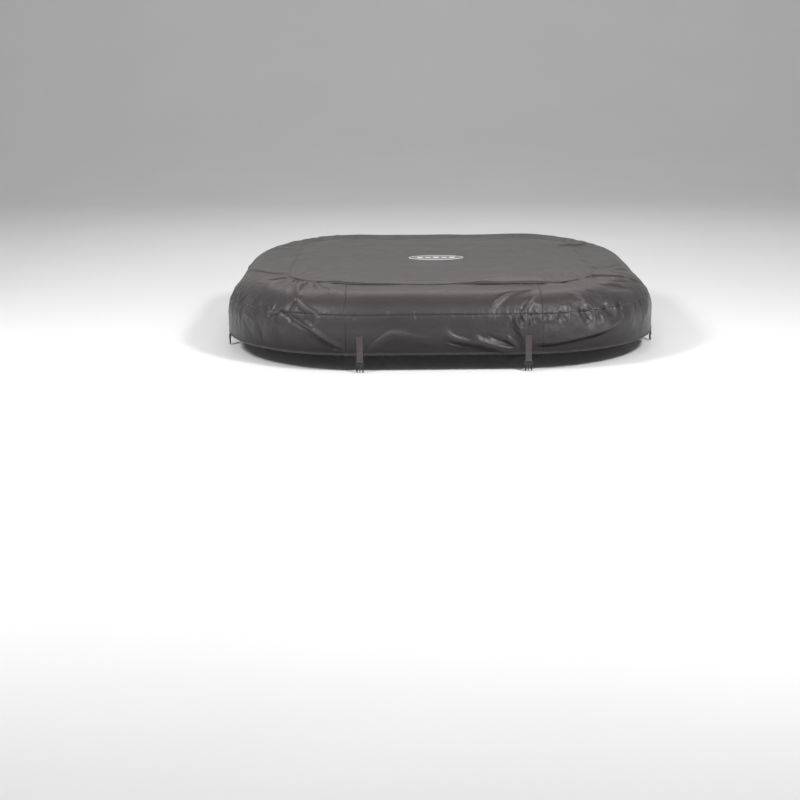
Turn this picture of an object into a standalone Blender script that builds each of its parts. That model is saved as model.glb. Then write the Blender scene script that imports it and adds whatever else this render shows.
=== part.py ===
"""Fitted cover for a square inflatable spa: a sewn PVC skin with straps, a pocket and an inflatable lid.

Metres, +Z up. The origin is the middle of the plane in which the crest of the tub's rim lies, so the
cover's flat band rests at z = 0. The front is towards -Y, and the left side is towards -X.
"""

from math import asin, cos, pi, radians, sin, sqrt

import bmesh
import bpy
from mathutils import Matrix, Vector

# The skin, seen from above as a rounded square.
COVER_HALF = 0.908  # half of the overall width
TANGENT = 0.327  # where the straight sides end and the corner arcs begin
SHOULDER_R = 0.148  # outer radius of the shoulder that goes over the rim
CREST_HALF = COVER_HALF - SHOULDER_R
TOP_HALF = 0.645  # the raised middle panel
TOP_CORNER_R = 0.26
SKIN = 0.0015  # thickness of the coated fabric
SEAM_X = 0.39  # the upright seams between side and corner panels
GAP = 0.0003  # clearance between touching pieces
SEAM_ANGLE = 62.0  # how far round the shoulder, in degrees, the seam over the skirt lies
HEM_Z = -0.234
CROWN = 0.022  # height of the middle panel's centre

# The hem tape, folded over the edge of the skirt.
TAPE = 0.001
TAPE_HEIGHT = 0.008

# The inflatable lid and the pocket that holds it.
INNER_HALF = 0.56  # inside this, plan rings are scaled copies of one ring
LID_HALF = 0.618
LID_WALL = 0.0008
LID_BOTTOM = -0.0985
LINER = 0.0008
LINER_BOTTOM = -0.104
LINER_TOP_HALF = 0.6440

# The zip in the pocket's underside, which runs along X.
ZIP_Y = -0.48
ZIP_HALF = 0.45
CHAIN_HALF_WIDTH = 0.003
CHAIN_HEIGHT = 0.0025
ZIP_TAPE = 0.0006
ZIP_TAPE_HALF = 0.015
ZIP_TAPE_END = 0.02  # how far the tape runs on past each end of the chain's travel
SLIDER_LENGTH = 0.012
SLIDER_HALF_WIDTH = 0.0056
SLIDER_PLATE = 0.0016
PULL_PIN_Z = -SLIDER_PLATE - 0.0032  # the pull's cross pin, below the slider's inner face
PULL_LENGTH = 0.026
EYE_HALF = 0.0016  # half the width of the pull's eye, which turns between the lugs
LUG_NEAR, LUG_FAR = 0.0022, 0.0036

# The lid's air valve.
VALVE_X, VALVE_Y = 0.36, -0.27
VALVE_BORE = 0.0095
VALVE_TUBE = 0.0108
VALVE_FLANGE = 0.022
VALVE_HOLE = 0.0112
ACCESS_HOLE = 0.031
CAP_R = 0.0165
CAP_REACH = 0.0195  # from the cap's hinge line to its middle
CAP_HALF_THICK = 0.0009

# The webbing straps and the plug halves of their side-release buckles.
STRAP_X = 0.334
WEB_WIDTH = 0.025
WEB = 0.0015
STRAP_TOP_Z = -0.158
STRAP_AXIS_HALF = 0.91035
STRAP_AXIS_Z = -0.240
LOOP_DROP = 0.022  # from the strap's fold line down to the plug's bar
BAR_R = 0.002
PLUG_WIDTH = 0.0335
RAIL = 0.0034
PLUG_THICK = 0.0062
PLUG_SHOULDER, PLUG_SEAT = -0.0062, -0.0152  # top and bottom of the plug's shoulder, below its bar

# The patch on the middle panel.
PATCH_X, PATCH_Y = -0.013, -0.046
PATCH_LENGTH, PATCH_WIDTH = 0.245, 0.130
PATCH = 0.0008

CORNER_STEPS = 12
CIRCLE = 24
SIDES = ("front", "right", "back", "left")
CORNERS = ("front_right", "back_right", "back_left", "front_left")
STRAP_ENDS = {
    "front": ("left", "right"),
    "right": ("front", "back"),
    "back": ("right", "left"),
    "left": ("back", "front"),
}


# ---------------------------------------------------------------- materials


def material(name, colour, roughness, metallic=0.0):
    made = bpy.data.materials.new(name)
    made.use_nodes = True
    shader = made.node_tree.nodes["Principled BSDF"]
    shader.inputs["Base Color"].default_value = (*colour, 1.0)
    shader.inputs["Roughness"].default_value = roughness
    shader.inputs["Metallic"].default_value = metallic
    return made


def make_materials():
    return {
        "skin": material("skin", (0.075, 0.070, 0.068), 0.45),
        "tape": material("tape", (0.055, 0.042, 0.040), 0.8),
        "webbing": material("webbing", (0.070, 0.058, 0.056), 0.85),
        "buckle": material("buckle", (0.025, 0.025, 0.026), 0.4),
        "bladder": material("bladder", (0.52, 0.56, 0.58), 0.35),
        "liner": material("liner", (0.40, 0.41, 0.42), 0.55),
        "zip": material("zip", (0.035, 0.035, 0.036), 0.6),
        "zip_metal": material("zip_metal", (0.55, 0.55, 0.54), 0.3, 1.0),
        "valve": material("valve", (0.62, 0.64, 0.66), 0.4),
        "patch": material("patch", (0.62, 0.62, 0.61), 0.5),
    }


# ---------------------------------------------------------------- mesh helpers


def add_object(name, mesh, look, parent=None):
    if not mesh.materials:
        mesh.materials.append(look)
    made = bpy.data.objects.new(name, mesh)
    bpy.context.scene.collection.objects.link(made)
    made.parent = parent
    return made


def mesh_of(name, bm, smooth=40.0):
    bmesh.ops.recalc_face_normals(bm, faces=bm.faces)
    mesh = bpy.data.meshes.new(name)
    bm.to_mesh(mesh)
    bm.free()
    mesh.shade_smooth()
    mesh.set_sharp_from_angle(angle=radians(smooth))
    return mesh


def lofted(name, rings, closed=False):
    """A body through closed rings of points: open ends get a fan, or the last ring meets the first."""
    bm = bmesh.new()
    rows = [[bm.verts.new(p) for p in ring] for ring in rings]
    count = len(rows[0])
    pairs = list(zip(rows, rows[1:]))
    if closed:
        pairs.append((rows[-1], rows[0]))
    for low, high in pairs:
        for i in range(count):
            k = (i + 1) % count
            bm.faces.new((low[i], low[k], high[k], high[i]))
    if not closed:
        for row in (rows[0], rows[-1]):
            middle = bm.verts.new(sum((v.co for v in row), Vector()) / count)
            for i in range(count):
                bm.faces.new((row[i], row[(i + 1) % count], middle))
    return mesh_of(name, bm)


def plate(name, outer, inner):
    """A panel with thickness, from the matching rows of points of its outer and inner faces."""
    bm = bmesh.new()
    faces = []
    for grid in (outer, inner):
        rows = [[bm.verts.new(p) for p in row] for row in grid]
        faces.append(rows)
        for low, high in zip(rows, rows[1:]):
            for i in range(len(low) - 1):
                bm.faces.new((low[i], low[i + 1], high[i + 1], high[i]))
    out, back = faces
    last = len(out[0]) - 1
    for i in range(last):
        for row in (0, -1):
            bm.faces.new((out[row][i], out[row][i + 1], back[row][i + 1], back[row][i]))
    for row in range(len(out) - 1):
        for end in (0, last):
            bm.faces.new((out[row][end], out[row + 1][end], back[row + 1][end], back[row][end]))
    return mesh_of(name, bm)


def prism(name, outline, axis, low, high):
    """An outline swept along one axis. Its points give the other two coordinates, in X, Y, Z order."""
    bm = bmesh.new()
    ends = []
    for along in (low, high):
        points = []
        for a, b in outline:
            point = [a, b]
            point.insert("XYZ".index(axis), along)
            points.append(bm.verts.new(point))
        ends.append(points)
        bm.faces.new(points)
    count = len(outline)
    for i in range(count):
        k = (i + 1) % count
        bm.faces.new((ends[0][i], ends[0][k], ends[1][k], ends[1][i]))
    return mesh_of(name, bm)


def circle_ring(radius, z, x=0.0, y=0.0, steps=CIRCLE):
    turn = [2 * pi * i / steps for i in range(steps)]
    return [(x + radius * cos(a), y + radius * sin(a), z) for a in turn]


def cross_rod(name, axis, radius, z, reach, steps):
    """A rod along X or Y through the middle, at this height and out to this far on both sides."""
    rings = []
    for end in (-reach, reach):
        section = circle_ring(radius, 0.0, steps=steps)
        if axis == "X":
            rings.append([(end, a, b + z) for a, b, _ in section])
        else:
            rings.append([(a, end, b + z) for a, b, _ in section])
    return lofted(name, rings)


def add_empty(name, parent=None):
    made = bpy.data.objects.new(name, None)
    bpy.context.scene.collection.objects.link(made)
    made.parent = parent
    return made


def helper(name, mesh):
    """A cutter, which isn't part of the cover."""
    made = bpy.data.objects.new(name, mesh)
    bpy.context.scene.collection.objects.link(made)
    made.hide_render = True
    made.display_type = "WIRE"
    return made


def cut(target, cutter):
    modifier = target.modifiers.new("cut_" + cutter.name, "BOOLEAN")
    modifier.operation = "DIFFERENCE"
    modifier.solver = "EXACT"
    modifier.object = cutter


def joined(name, parts, look, parent=None):
    """One body from overlapping meshes, by Boolean unions applied in order."""
    made = add_object(name, parts[0], look, parent)
    for i, mesh in enumerate(parts[1:]):
        other = helper(f"{name}_add_{i}", mesh)
        other.parent = parent
        modifier = made.modifiers.new(other.name, "BOOLEAN")
        modifier.operation = "UNION"
        modifier.solver = "EXACT"
        modifier.object = other
    return made


def box_mesh(name, low, high):
    outline = [(low[0], low[1]), (high[0], low[1]), (high[0], high[1]), (low[0], high[1])]
    return prism(name, outline, "Z", low[2], high[2])


# ---------------------------------------------------------------- the cover's plan and profile


def corner_radius(half):
    """Corner radius of the plan ring whose straight sides lie at this distance from the middle."""
    if half >= CREST_HALF:
        return half - TANGENT
    if half >= TOP_HALF:
        share = (half - TOP_HALF) / (CREST_HALF - TOP_HALF)
        return TOP_CORNER_R + share * (CREST_HALF - TANGENT - TOP_CORNER_R)
    return TOP_CORNER_R - (TOP_HALF - half)


def side_stretch(half, gap):
    """Plan points of the front side between its two upright seams, left to right."""
    radius = corner_radius(half)
    straight = half - radius
    end = SEAM_X - gap
    points = []
    for x in (-end, -TANGENT, -TANGENT / 2, 0.0, TANGENT / 2, TANGENT, end):
        over = max(0.0, abs(x) - straight)
        points.append((x, -straight - sqrt(radius**2 - over**2)))
    return points


def corner_stretch(half, gap):
    """Plan points of the front right corner, from the front seam to the right one."""
    radius = corner_radius(half)
    straight = half - radius
    start = asin(max(0.0, SEAM_X + gap - straight) / radius)
    sweep = pi / 2 - 2 * start
    turn = [start + sweep * i / CORNER_STEPS for i in range(CORNER_STEPS + 1)]
    return [(straight + radius * sin(a), -straight - radius * cos(a)) for a in turn]


def whole_ring(half, z):
    """A closed plan ring at one height, which lies inside another scaled down where it is small."""
    scale = min(1.0, half / INNER_HALF)
    quarter = side_stretch(max(half, INNER_HALF), 0.0)[1:]
    quarter += corner_stretch(max(half, INNER_HALF), 0.0)[1:]
    points = []
    for turn in range(4):
        rotate = Matrix.Rotation(turn * pi / 2, 2)
        for point in quarter:
            x, y = rotate @ Vector(point) * scale
            points.append((x, y, z))
    return points


def shoulder(degrees, inset):
    """(distance from the middle, height) on the shoulder, this far round it and this far inside it."""
    reach = SHOULDER_R - inset
    centre_z = SKIN - SHOULDER_R
    return CREST_HALF + reach * sin(radians(degrees)), centre_z + reach * cos(radians(degrees))


def band_profile(inset):
    flat = [(half, SKIN - inset) for half in (TOP_HALF + GAP, 0.68, 0.72, CREST_HALF)]
    end = SEAM_ANGLE - 0.06
    return flat + [shoulder(end * i / 6, inset) for i in range(1, 7)]


def skirt_profile(inset):
    start = SEAM_ANGLE + 0.06
    arc = [shoulder(start + (90 - start) * i / 3, inset) for i in range(4)]
    return arc + [(COVER_HALF - inset, z) for z in (-0.19, HEM_Z)]


def crown_profile(inset):
    """The middle panel's top, from its sewn edge inward, or its underside for the inset of one skin."""
    edge = [(0.6450, 0.0015), (0.6436, 0.0060), (0.6380, 0.0100), (0.6240, 0.0128), (0.5900, 0.0146)]
    inner = [(INNER_HALF, 0.0157), (0.40, 0.0195), (0.20, 0.0214), (0.06, CROWN)]
    shrink = [(half - 0.7 * inset, z - 0.75 * inset) for half, z in edge[1:4]]
    return [(edge[0][0], edge[0][1] - inset), *shrink, (edge[4][0], edge[4][1] - inset)] + [
        (half, z - inset) for half, z in inner
    ]


# ---------------------------------------------------------------- the sewn skin


def panel_mesh(name, profile, stretch):
    grids = []
    for inset in (0.0, SKIN):
        rows = []
        for half, z in profile(inset):
            rows.append([(x, y, z) for x, y in stretch(half, GAP / 2)])
        grids.append(rows)
    return plate(name, *grids)


def make_panels(look):
    """The band over the rim and the skirt below it, each cut as four sides and four corners."""
    for layer, profile in (("band", band_profile), ("skirt", skirt_profile)):
        side = panel_mesh(layer, profile, side_stretch)
        corner = panel_mesh(layer + "_corner", profile, corner_stretch)
        for turn in range(4):
            for name, mesh in ((SIDES[turn], side), ("corner_" + CORNERS[turn], corner)):
                made = add_object(f"{layer}_{name}", mesh, look)
                made.rotation_euler.z = turn * pi / 2


def make_top_panel(look):
    rings = [whole_ring(half, z) for half, z in reversed(crown_profile(0.0))]
    rings += [whole_ring(half, z) for half, z in crown_profile(SKIN)]
    add_object("top_panel", lofted("top_panel", rings), look)


def make_hem_binding(look):
    """A tape folded round the hem, open at its top, where the skirt goes in."""
    outside = COVER_HALF + GAP + TAPE
    inside = COVER_HALF - SKIN - GAP - TAPE
    top = HEM_Z + TAPE_HEIGHT
    low = HEM_Z - GAP
    profile = [
        (outside, top),
        (outside, low - TAPE),
        (inside, low - TAPE),
        (inside, top),
        (inside + TAPE, top),
        (inside + TAPE, low),
        (outside - TAPE, low),
        (outside - TAPE, top),
    ]
    rings = [whole_ring(half, z) for half, z in profile]
    add_object("hem_binding", lofted("hem_binding", rings, closed=True), look)


def crown_height(half):
    """Height of the middle panel's top at this distance from the middle."""
    points = sorted((h, z) for h, z in crown_profile(0.0))
    for (h0, z0), (h1, z1) in zip(points, points[1:]):
        if half <= h1:
            return z0 + (z1 - z0) * max(0.0, half - h0) / (h1 - h0)
    return points[-1][1]


def make_patch(look):
    """A plain welded patch with round ends, which follows the crowned panel below it."""
    end_r = PATCH_WIDTH / 2
    run = PATCH_LENGTH / 2 - end_r
    steps = 10
    outline = []
    for side in (1, -1):
        for i in range(steps + 1):
            a = -pi / 2 + pi * i / steps
            outline.append((side * (run + end_r * cos(a)), side * end_r * sin(a)))
    rings = []
    lift = GAP + 0.0001
    for base, scales in ((lift + PATCH, (0.35, 0.7, 1.0)), (lift, (1.0, 0.7, 0.35))):
        for scale in scales:
            ring = []
            for a, b in outline:
                x, y = PATCH_X + a * scale, PATCH_Y + b * scale
                ring.append((x, y, crown_height(max(abs(x), abs(y))) + base))
            rings.append(ring)
    add_object("top_patch", lofted("top_patch", rings), look)


# ---------------------------------------------------------------- lid, pocket, zip and valve


def lid_rings(inset):
    """Outer wall of the lid, or its inner wall for the inset of one wall, from the top's middle down."""
    clear = SKIN + 2 * GAP
    top = [(half, z - clear) for half, z in reversed(crown_profile(0.0)[4:])]
    side = [(0.604, 0.0060), (0.6150, -0.0040), (LID_HALF, -0.020), (LID_HALF, -0.072)]
    low = [(0.6130, -0.0860), (0.5990, -0.0950), (INNER_HALF, LID_BOTTOM), (0.2, LID_BOTTOM)]
    rings = [whole_ring(half, z - inset) for half, z in top]
    rings += [whole_ring(half - inset, z) for half, z in side]
    rings += [whole_ring(half - inset * 0.7, z + inset) for half, z in low]
    return rings


def make_lid(look):
    """A hollow bladder, whose inside meets the outside through its valve hole."""
    lid = add_object("air_lid", lofted("air_lid", lid_rings(0.0)), look)
    cut(lid, helper("lid_inside", lofted("lid_inside", lid_rings(LID_WALL))))
    hole = [circle_ring(VALVE_HOLE, LID_BOTTOM + dz, VALVE_X, VALVE_Y) for dz in (-0.01, 0.01)]
    cut(lid, helper("valve_hole", lofted("valve_hole", hole)))


def make_liner(look):
    """The pocket's wall and underside, with a slot behind the zip and an access hole at the valve."""
    wall = [(LINER_TOP_HALF, -GAP), (0.6300, -0.0120), (0.6240, -0.0300), (0.6232, -0.0740)]
    base = [(0.6180, -0.0905), (0.6030, -0.1010), (INNER_HALF, LINER_BOTTOM), (0.2, LINER_BOTTOM)]
    outer = [whole_ring(half, z) for half, z in wall + base]
    inner = [whole_ring(half - LINER, z) for half, z in wall]
    inner += [whole_ring(half - 0.6 * LINER, z + LINER) for half, z in base]
    rings = list(reversed(outer)) + inner
    liner = add_object("pocket_liner", lofted("pocket_liner", rings), look)
    low, high = LINER_BOTTOM - 0.001, LINER_BOTTOM + 0.002
    hole = [circle_ring(ACCESS_HOLE, z, VALVE_X, VALVE_Y) for z in (low, high)]
    cut(liner, helper("access_hole", lofted("access_hole", hole)))
    near = (-ZIP_HALF, ZIP_Y - CHAIN_HALF_WIDTH, low)
    far = (ZIP_HALF, ZIP_Y + CHAIN_HALF_WIDTH, high)
    cut(liner, helper("zip_slot", box_mesh("zip_slot", near, far)))


def make_zip_chain(look):
    """Tape and chain as one strip. Returns the height of the chain's lowest face."""
    tape_top = LINER_BOTTOM - GAP
    chain_top = tape_top - ZIP_TAPE
    chain_low = chain_top - CHAIN_HEIGHT
    right = [
        (CHAIN_HALF_WIDTH, chain_low),
        (CHAIN_HALF_WIDTH, chain_top),
        (ZIP_TAPE_HALF, chain_top),
        (ZIP_TAPE_HALF, tape_top),
    ]
    section = [(ZIP_Y + y, z) for y, z in right] + [(ZIP_Y - y, z) for y, z in reversed(right)]
    end = ZIP_HALF + ZIP_TAPE_END
    add_object("zip_chain", prism("zip_chain", section, "X", -end, end), look)
    return chain_low


def make_slider(metal, frame):
    """A channel under the chain, with two lugs that hold the pull's cross pin."""
    inner = CHAIN_HALF_WIDTH + GAP
    right = [
        (SLIDER_HALF_WIDTH, -SLIDER_PLATE),
        (SLIDER_HALF_WIDTH, CHAIN_HEIGHT),
        (inner, CHAIN_HEIGHT),
        (inner, 0.0),
    ]
    channel = right + [(-y, z) for y, z in reversed(right)]
    parts = [prism("zip_slider", channel, "X", -SLIDER_LENGTH / 2, SLIDER_LENGTH / 2)]
    for side in (-1, 1):
        near, far = sorted((side * LUG_NEAR, side * LUG_FAR))
        low = (-LUG_NEAR, near, PULL_PIN_Z - 0.0012)
        parts.append(box_mesh(f"zip_lug_{side}", low, (LUG_NEAR, far, 0.0004 - SLIDER_PLATE)))
    parts.append(cross_rod("zip_pin", "Y", 0.0007, PULL_PIN_Z, (LUG_NEAR + LUG_FAR) / 2, 12))
    joined("zip_slider", parts, metal, frame)


def make_pull(metal, frame):
    """A tab that hangs from an eye round the slider's pin, with its middle at the origin."""
    rings = []
    for radius, y in ((0.0011, -EYE_HALF), (0.0022, -EYE_HALF), (0.0022, EYE_HALF), (0.0011, EYE_HALF)):
        rings.append([(x, y, z) for x, z, _ in circle_ring(radius, 0.0, steps=16)])
    eye = lofted("zip_pull", rings, closed=True)
    end = -PULL_LENGTH
    right = [(0.0018, end), (0.0034, end + 0.0012), (0.0034, -0.008), (0.0016, -0.0018)]
    outline = right + [(-y, z) for y, z in reversed(right)]
    tongue = prism("zip_tongue", outline, "X", -0.0007, 0.0007)
    joined("zip_pull", [eye, tongue], metal, frame)


def make_zip(tape_look, metal):
    chain_low = make_zip_chain(tape_look)
    slider_frame = add_empty("zip_slider_frame")
    slider_frame.location = (-ZIP_HALF + SLIDER_LENGTH, ZIP_Y, chain_low - GAP)
    make_slider(metal, slider_frame)
    pull_frame = add_empty("zip_pull_frame", slider_frame)
    pull_frame.location.z = PULL_PIN_Z
    make_pull(metal, pull_frame)


def make_valve(look):
    """A flanged tube through the lid's underside, a non-return flap above it and a hinged cap below."""
    flange_top = LID_BOTTOM - GAP
    flange_low = flange_top - 0.0012
    tube_top = LID_BOTTOM + 0.010
    profile = [
        (VALVE_BORE, flange_low),
        (VALVE_FLANGE, flange_low),
        (VALVE_FLANGE, flange_top),
        (VALVE_TUBE, flange_top),
        (VALVE_TUBE, tube_top),
        (VALVE_BORE, tube_top),
    ]
    rings = [circle_ring(radius, z, VALVE_X, VALVE_Y) for radius, z in profile]
    add_object("valve_base", lofted("valve_base", rings, closed=True), look)

    flap_frame = add_empty("valve_flap_frame")
    flap_frame.location = (VALVE_X - VALVE_TUBE, VALVE_Y, tube_top + GAP)
    flap = [circle_ring(VALVE_TUBE - 0.0004, z, VALVE_TUBE, 0.0) for z in (0.0, 0.0008)]
    add_object("valve_flap", lofted("valve_flap", flap), look, flap_frame)

    cap_frame = add_empty("valve_cap_frame")
    cap_frame.location = (VALVE_X - CAP_REACH, VALVE_Y, flange_low - GAP - CAP_HALF_THICK)
    disc = [circle_ring(CAP_R, z, CAP_REACH) for z in (-CAP_HALF_THICK, CAP_HALF_THICK)]
    stopper = [(0.0086, 0.0005), (0.0086, 0.0024), (0.0080, 0.0036)]
    stopper_rings = [circle_ring(radius, z, CAP_REACH) for radius, z in stopper]
    ear = box_mesh("valve_ear", (-0.0005, -0.0050, -0.0008), (0.0060, 0.0050, 0.0008))
    tab_start = CAP_REACH + CAP_R - 0.0025
    tab = box_mesh("valve_tab", (tab_start, -0.0040, -CAP_HALF_THICK), (tab_start + 0.0075, 0.0040, 0.0004))
    parts = [lofted("valve_cap", disc), lofted("valve_stopper", stopper_rings), ear, tab]
    joined("valve_cap", parts, look, cap_frame)


# ---------------------------------------------------------------- straps and buckle plugs


def tab_mesh():
    """The sewn end of a strap on the skirt, notched over the hem tape. +Y points inward here."""
    outer = -(STRAP_AXIS_HALF + WEB / 2)
    over_tape = -(STRAP_AXIS_HALF - WEB / 2)
    on_skirt = -(COVER_HALF + GAP)
    low = STRAP_AXIS_Z + 0.0025
    notch = HEM_Z + TAPE_HEIGHT + GAP
    outline = [
        (outer, STRAP_TOP_Z),
        (outer, low),
        (over_tape, low),
        (over_tape, notch),
        (on_skirt, notch),
        (on_skirt, STRAP_TOP_Z),
    ]
    return prism("strap_tab", outline, "X", -WEB_WIDTH / 2, WEB_WIDTH / 2)


def strap_mesh():
    """The hanging webbing: a flat run down from its fold line to a sewn loop round the plug's bar."""
    inner_r = BAR_R + GAP
    outer_r = inner_r + 0.0013
    half = WEB / 2
    neck = LOOP_DROP - sqrt(outer_r**2 - half**2)
    start = asin(half / outer_r)
    outline = [(half * cos(a), half * sin(a)) for a in (0.0, pi / 4, pi / 2, 3 * pi / 4, pi)]
    outline.append((-half, -neck))
    steps = 16
    for i in range(1, steps):
        a = pi / 2 + start + (2 * pi - 2 * start) * i / steps
        outline.append((outer_r * cos(a), outer_r * sin(a) - LOOP_DROP))
    outline.append((half, -neck))
    return prism("strap", outline, "X", -WEB_WIDTH / 2, WEB_WIDTH / 2), inner_r


def plug_meshes():
    """A buckle plug hanging from its bar, whose middle is the origin: rails, shoulder and prongs."""
    half = PLUG_WIDTH / 2
    thick = PLUG_THICK / 2
    root = PLUG_SEAT + 0.001  # the prongs start inside the shoulder
    parts = [box_mesh("plug", (-half, -thick, PLUG_SEAT), (half, thick, PLUG_SHOULDER))]
    for side in (-1, 1):
        near, far = sorted((side * half, side * (half - RAIL)))
        low = (near, 0.0004 - thick, PLUG_SHOULDER - 0.002)
        parts.append(box_mesh(f"plug_rail_{side}", low, (far, thick - 0.0004, BAR_R + 0.0006)))
    parts.append(cross_rod("plug_bar", "X", BAR_R, 0.0, half - 0.001, 12))
    parts.append(box_mesh("plug_guide", (-0.0020, -0.0016, -0.0400), (0.0020, 0.0016, root)))
    arm = [
        (0.0070, root),
        (0.0070, -0.0280),
        (0.0100, -0.0405),
        (0.0132, -0.0405),
        (0.0150, -0.0350),
        (0.0150, -0.0290),
        (0.0110, -0.0262),
        (0.0110, root),
    ]
    for side in (-1, 1):
        outline = [(side * x, z) for x, z in arm]
        parts.append(prism(f"plug_arm_{side}", outline, "Y", -0.0018, 0.0018))
    return parts


def make_straps(webbing, buckle):
    tab = tab_mesh()
    strap, eye_r = strap_mesh()
    plug_parts = plug_meshes()
    eye_mesh = cross_rod("strap_eye", "X", eye_r, -LOOP_DROP, WEB_WIDTH, 16)
    for turn, side in enumerate(SIDES):
        for end, x in zip(STRAP_ENDS[side], (-STRAP_X, STRAP_X)):
            name = f"{side}_{end}"
            place = Matrix.Rotation(turn * pi / 2, 4, "Z")
            made = add_object("strap_tab_" + name, tab, webbing)
            made.matrix_world = place @ Matrix.Translation((x, 0.0, 0.0))

            fold = add_empty("fold_line_" + name)
            fold.matrix_world = place @ Matrix.Translation((x, -STRAP_AXIS_HALF, STRAP_AXIS_Z))
            made = add_object("strap_" + name, strap, webbing, fold)
            eye_cutter = helper("strap_eye_" + name, eye_mesh)
            eye_cutter.parent = fold
            cut(made, eye_cutter)

            bar = add_empty("bar_line_" + name, fold)
            bar.location.z = -LOOP_DROP
            joined("plug_" + name, plug_parts, buckle, bar)


def clear_scene():
    for obj in list(bpy.data.objects):
        bpy.data.objects.remove(obj, do_unlink=True)


def main():
    clear_scene()
    looks = make_materials()
    make_top_panel(looks["skin"])
    make_panels(looks["skin"])
    make_hem_binding(looks["tape"])
    make_patch(looks["patch"])
    make_lid(looks["bladder"])
    make_liner(looks["liner"])
    make_zip(looks["zip"], looks["zip_metal"])
    make_valve(looks["valve"])
    make_straps(looks["webbing"], looks["buckle"])


main()
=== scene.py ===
"""Looks of the fitted spa cover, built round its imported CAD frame. Metres, in the frame's own axes."""

from math import cos, pi, radians, sin, sqrt

import bmesh
import bpy
import numpy as np
from mathutils import Matrix, Vector


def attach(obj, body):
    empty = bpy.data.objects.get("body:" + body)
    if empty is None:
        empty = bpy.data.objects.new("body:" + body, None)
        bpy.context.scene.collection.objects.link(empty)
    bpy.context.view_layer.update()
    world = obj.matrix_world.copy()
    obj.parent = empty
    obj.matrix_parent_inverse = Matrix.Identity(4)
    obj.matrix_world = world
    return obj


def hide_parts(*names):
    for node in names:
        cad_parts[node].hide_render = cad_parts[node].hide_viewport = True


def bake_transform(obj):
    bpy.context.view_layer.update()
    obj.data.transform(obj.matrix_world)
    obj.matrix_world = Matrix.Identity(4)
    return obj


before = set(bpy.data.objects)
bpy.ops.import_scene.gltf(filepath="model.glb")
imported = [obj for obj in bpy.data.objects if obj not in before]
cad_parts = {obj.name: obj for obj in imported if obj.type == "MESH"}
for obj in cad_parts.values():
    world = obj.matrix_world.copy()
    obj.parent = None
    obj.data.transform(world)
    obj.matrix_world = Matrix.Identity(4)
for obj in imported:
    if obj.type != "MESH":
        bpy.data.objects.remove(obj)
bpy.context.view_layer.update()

# ---------------------------------------------------------------- the cover's form, as in the CAD

COVER_HALF, TANGENT, SHOULDER_R = 0.908, 0.327, 0.148  # TANGENT is where a straight side meets its corner
CREST_HALF = COVER_HALF - SHOULDER_R
TOP_HALF, TOP_CORNER_R, INNER_HALF = 0.645, 0.26, 0.56  # the middle panel
SKIN, GAP = 0.0015, 0.0003
SEAM_X = 0.39  # the upright seams, from the middle of their side
HEM_Z = -0.234
# distances outward over the skin from the middle panel: to the crest, over the shoulder, to seam and hem
FLAT_RUN = CREST_HALF - TOP_HALF
ARC_RUN = SHOULDER_R * pi / 2
SEAM_D = FLAT_RUN + SHOULDER_R * radians(62.0)
HEM_D = FLAT_RUN + ARC_RUN + (SKIN - SHOULDER_R - HEM_Z)
CORNER_R = COVER_HALF - TANGENT
QUARTER = 2 * TANGENT + CORNER_R * pi / 2  # a quarter of the way round the cover
STRAP_X, STRAP_AXIS_HALF, STRAP_AXIS_Z, BAR_DROP = 0.334, 0.91035, -0.240, 0.022
WEB_WIDTH, WEB_THICK = 0.025, 0.0015
TAB_OUT = COVER_HALF + GAP + 0.0009  # the middle of a strap's thickness where it is sewn to the skirt
PATCH_X, PATCH_Y, PATCH_LENGTH, PATCH_WIDTH = -0.013, -0.046, 0.245, 0.130
BAR_PITCH = 0.036  # between the bars on the patch
VALVE_X, VALVE_Y = 0.36, -0.27
ACCESS_R = 0.031  # the hole in the pocket round the valve
ZIP_Y, ZIP_HALF, ZIP_TOP = -0.48, 0.45, -0.1043
LID_LOW, POCKET_LOW, LINER = -0.0985, -0.1040, 0.0008  # the lowest heights, and the pocket's thickness
TIE_PITCH, TIE_DEPTH, TIED_HALF = 0.16, 0.0045, 0.56  # the dimples where the lid's inner ties pull it in
# half width and height of the middle panel's crown, from its middle outward
CROWN = ((0.0, 0.022), (0.06, 0.022), (0.20, 0.0214), (0.40, 0.0198))
SIDES = ("front", "right", "back", "left")
CORNERS = ("front_right", "back_right", "back_left", "front_left")
STRAP_ENDS = {"front": ("left", "right"), "right": ("front", "back"), "back": ("right", "left"),
              "left": ("back", "front")}
CELL = 0.0032  # mesh spacing on the band and skirt
TOP_POINTS, POCKET_POINTS = 211, 191  # mesh points along each side of the middle panel and the pocket
PANEL_RUN = 0.79  # the longest run along a panel of the band or skirt
SHEET = SKIN - 0.0002  # thickness of the skin as it is drawn
BESIDE_SEAM, THREAD_LIFT, HEM_THREAD_LIFT = 0.0055, 0.00012, 0.00125  # rows of stitches
UP = np.array([0, 0, 1.0])


def profile(d):
    """Half width, height and corner radius of the plan ring at distance d outward from the middle panel."""
    turn = np.clip((d - FLAT_RUN) / SHOULDER_R, 0, pi / 2)
    half = np.where(d < FLAT_RUN, TOP_HALF + d, CREST_HALF + SHOULDER_R * np.sin(turn))
    z = SKIN - SHOULDER_R * (1 - np.cos(turn)) - np.maximum(0.0, d - FLAT_RUN - ARC_RUN)
    share = (half - TOP_HALF) / FLAT_RUN
    slope = TOP_CORNER_R + share * (CREST_HALF - TANGENT - TOP_CORNER_R)
    return half, z, np.where(half >= CREST_HALF, half - TANGENT, slope)


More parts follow.
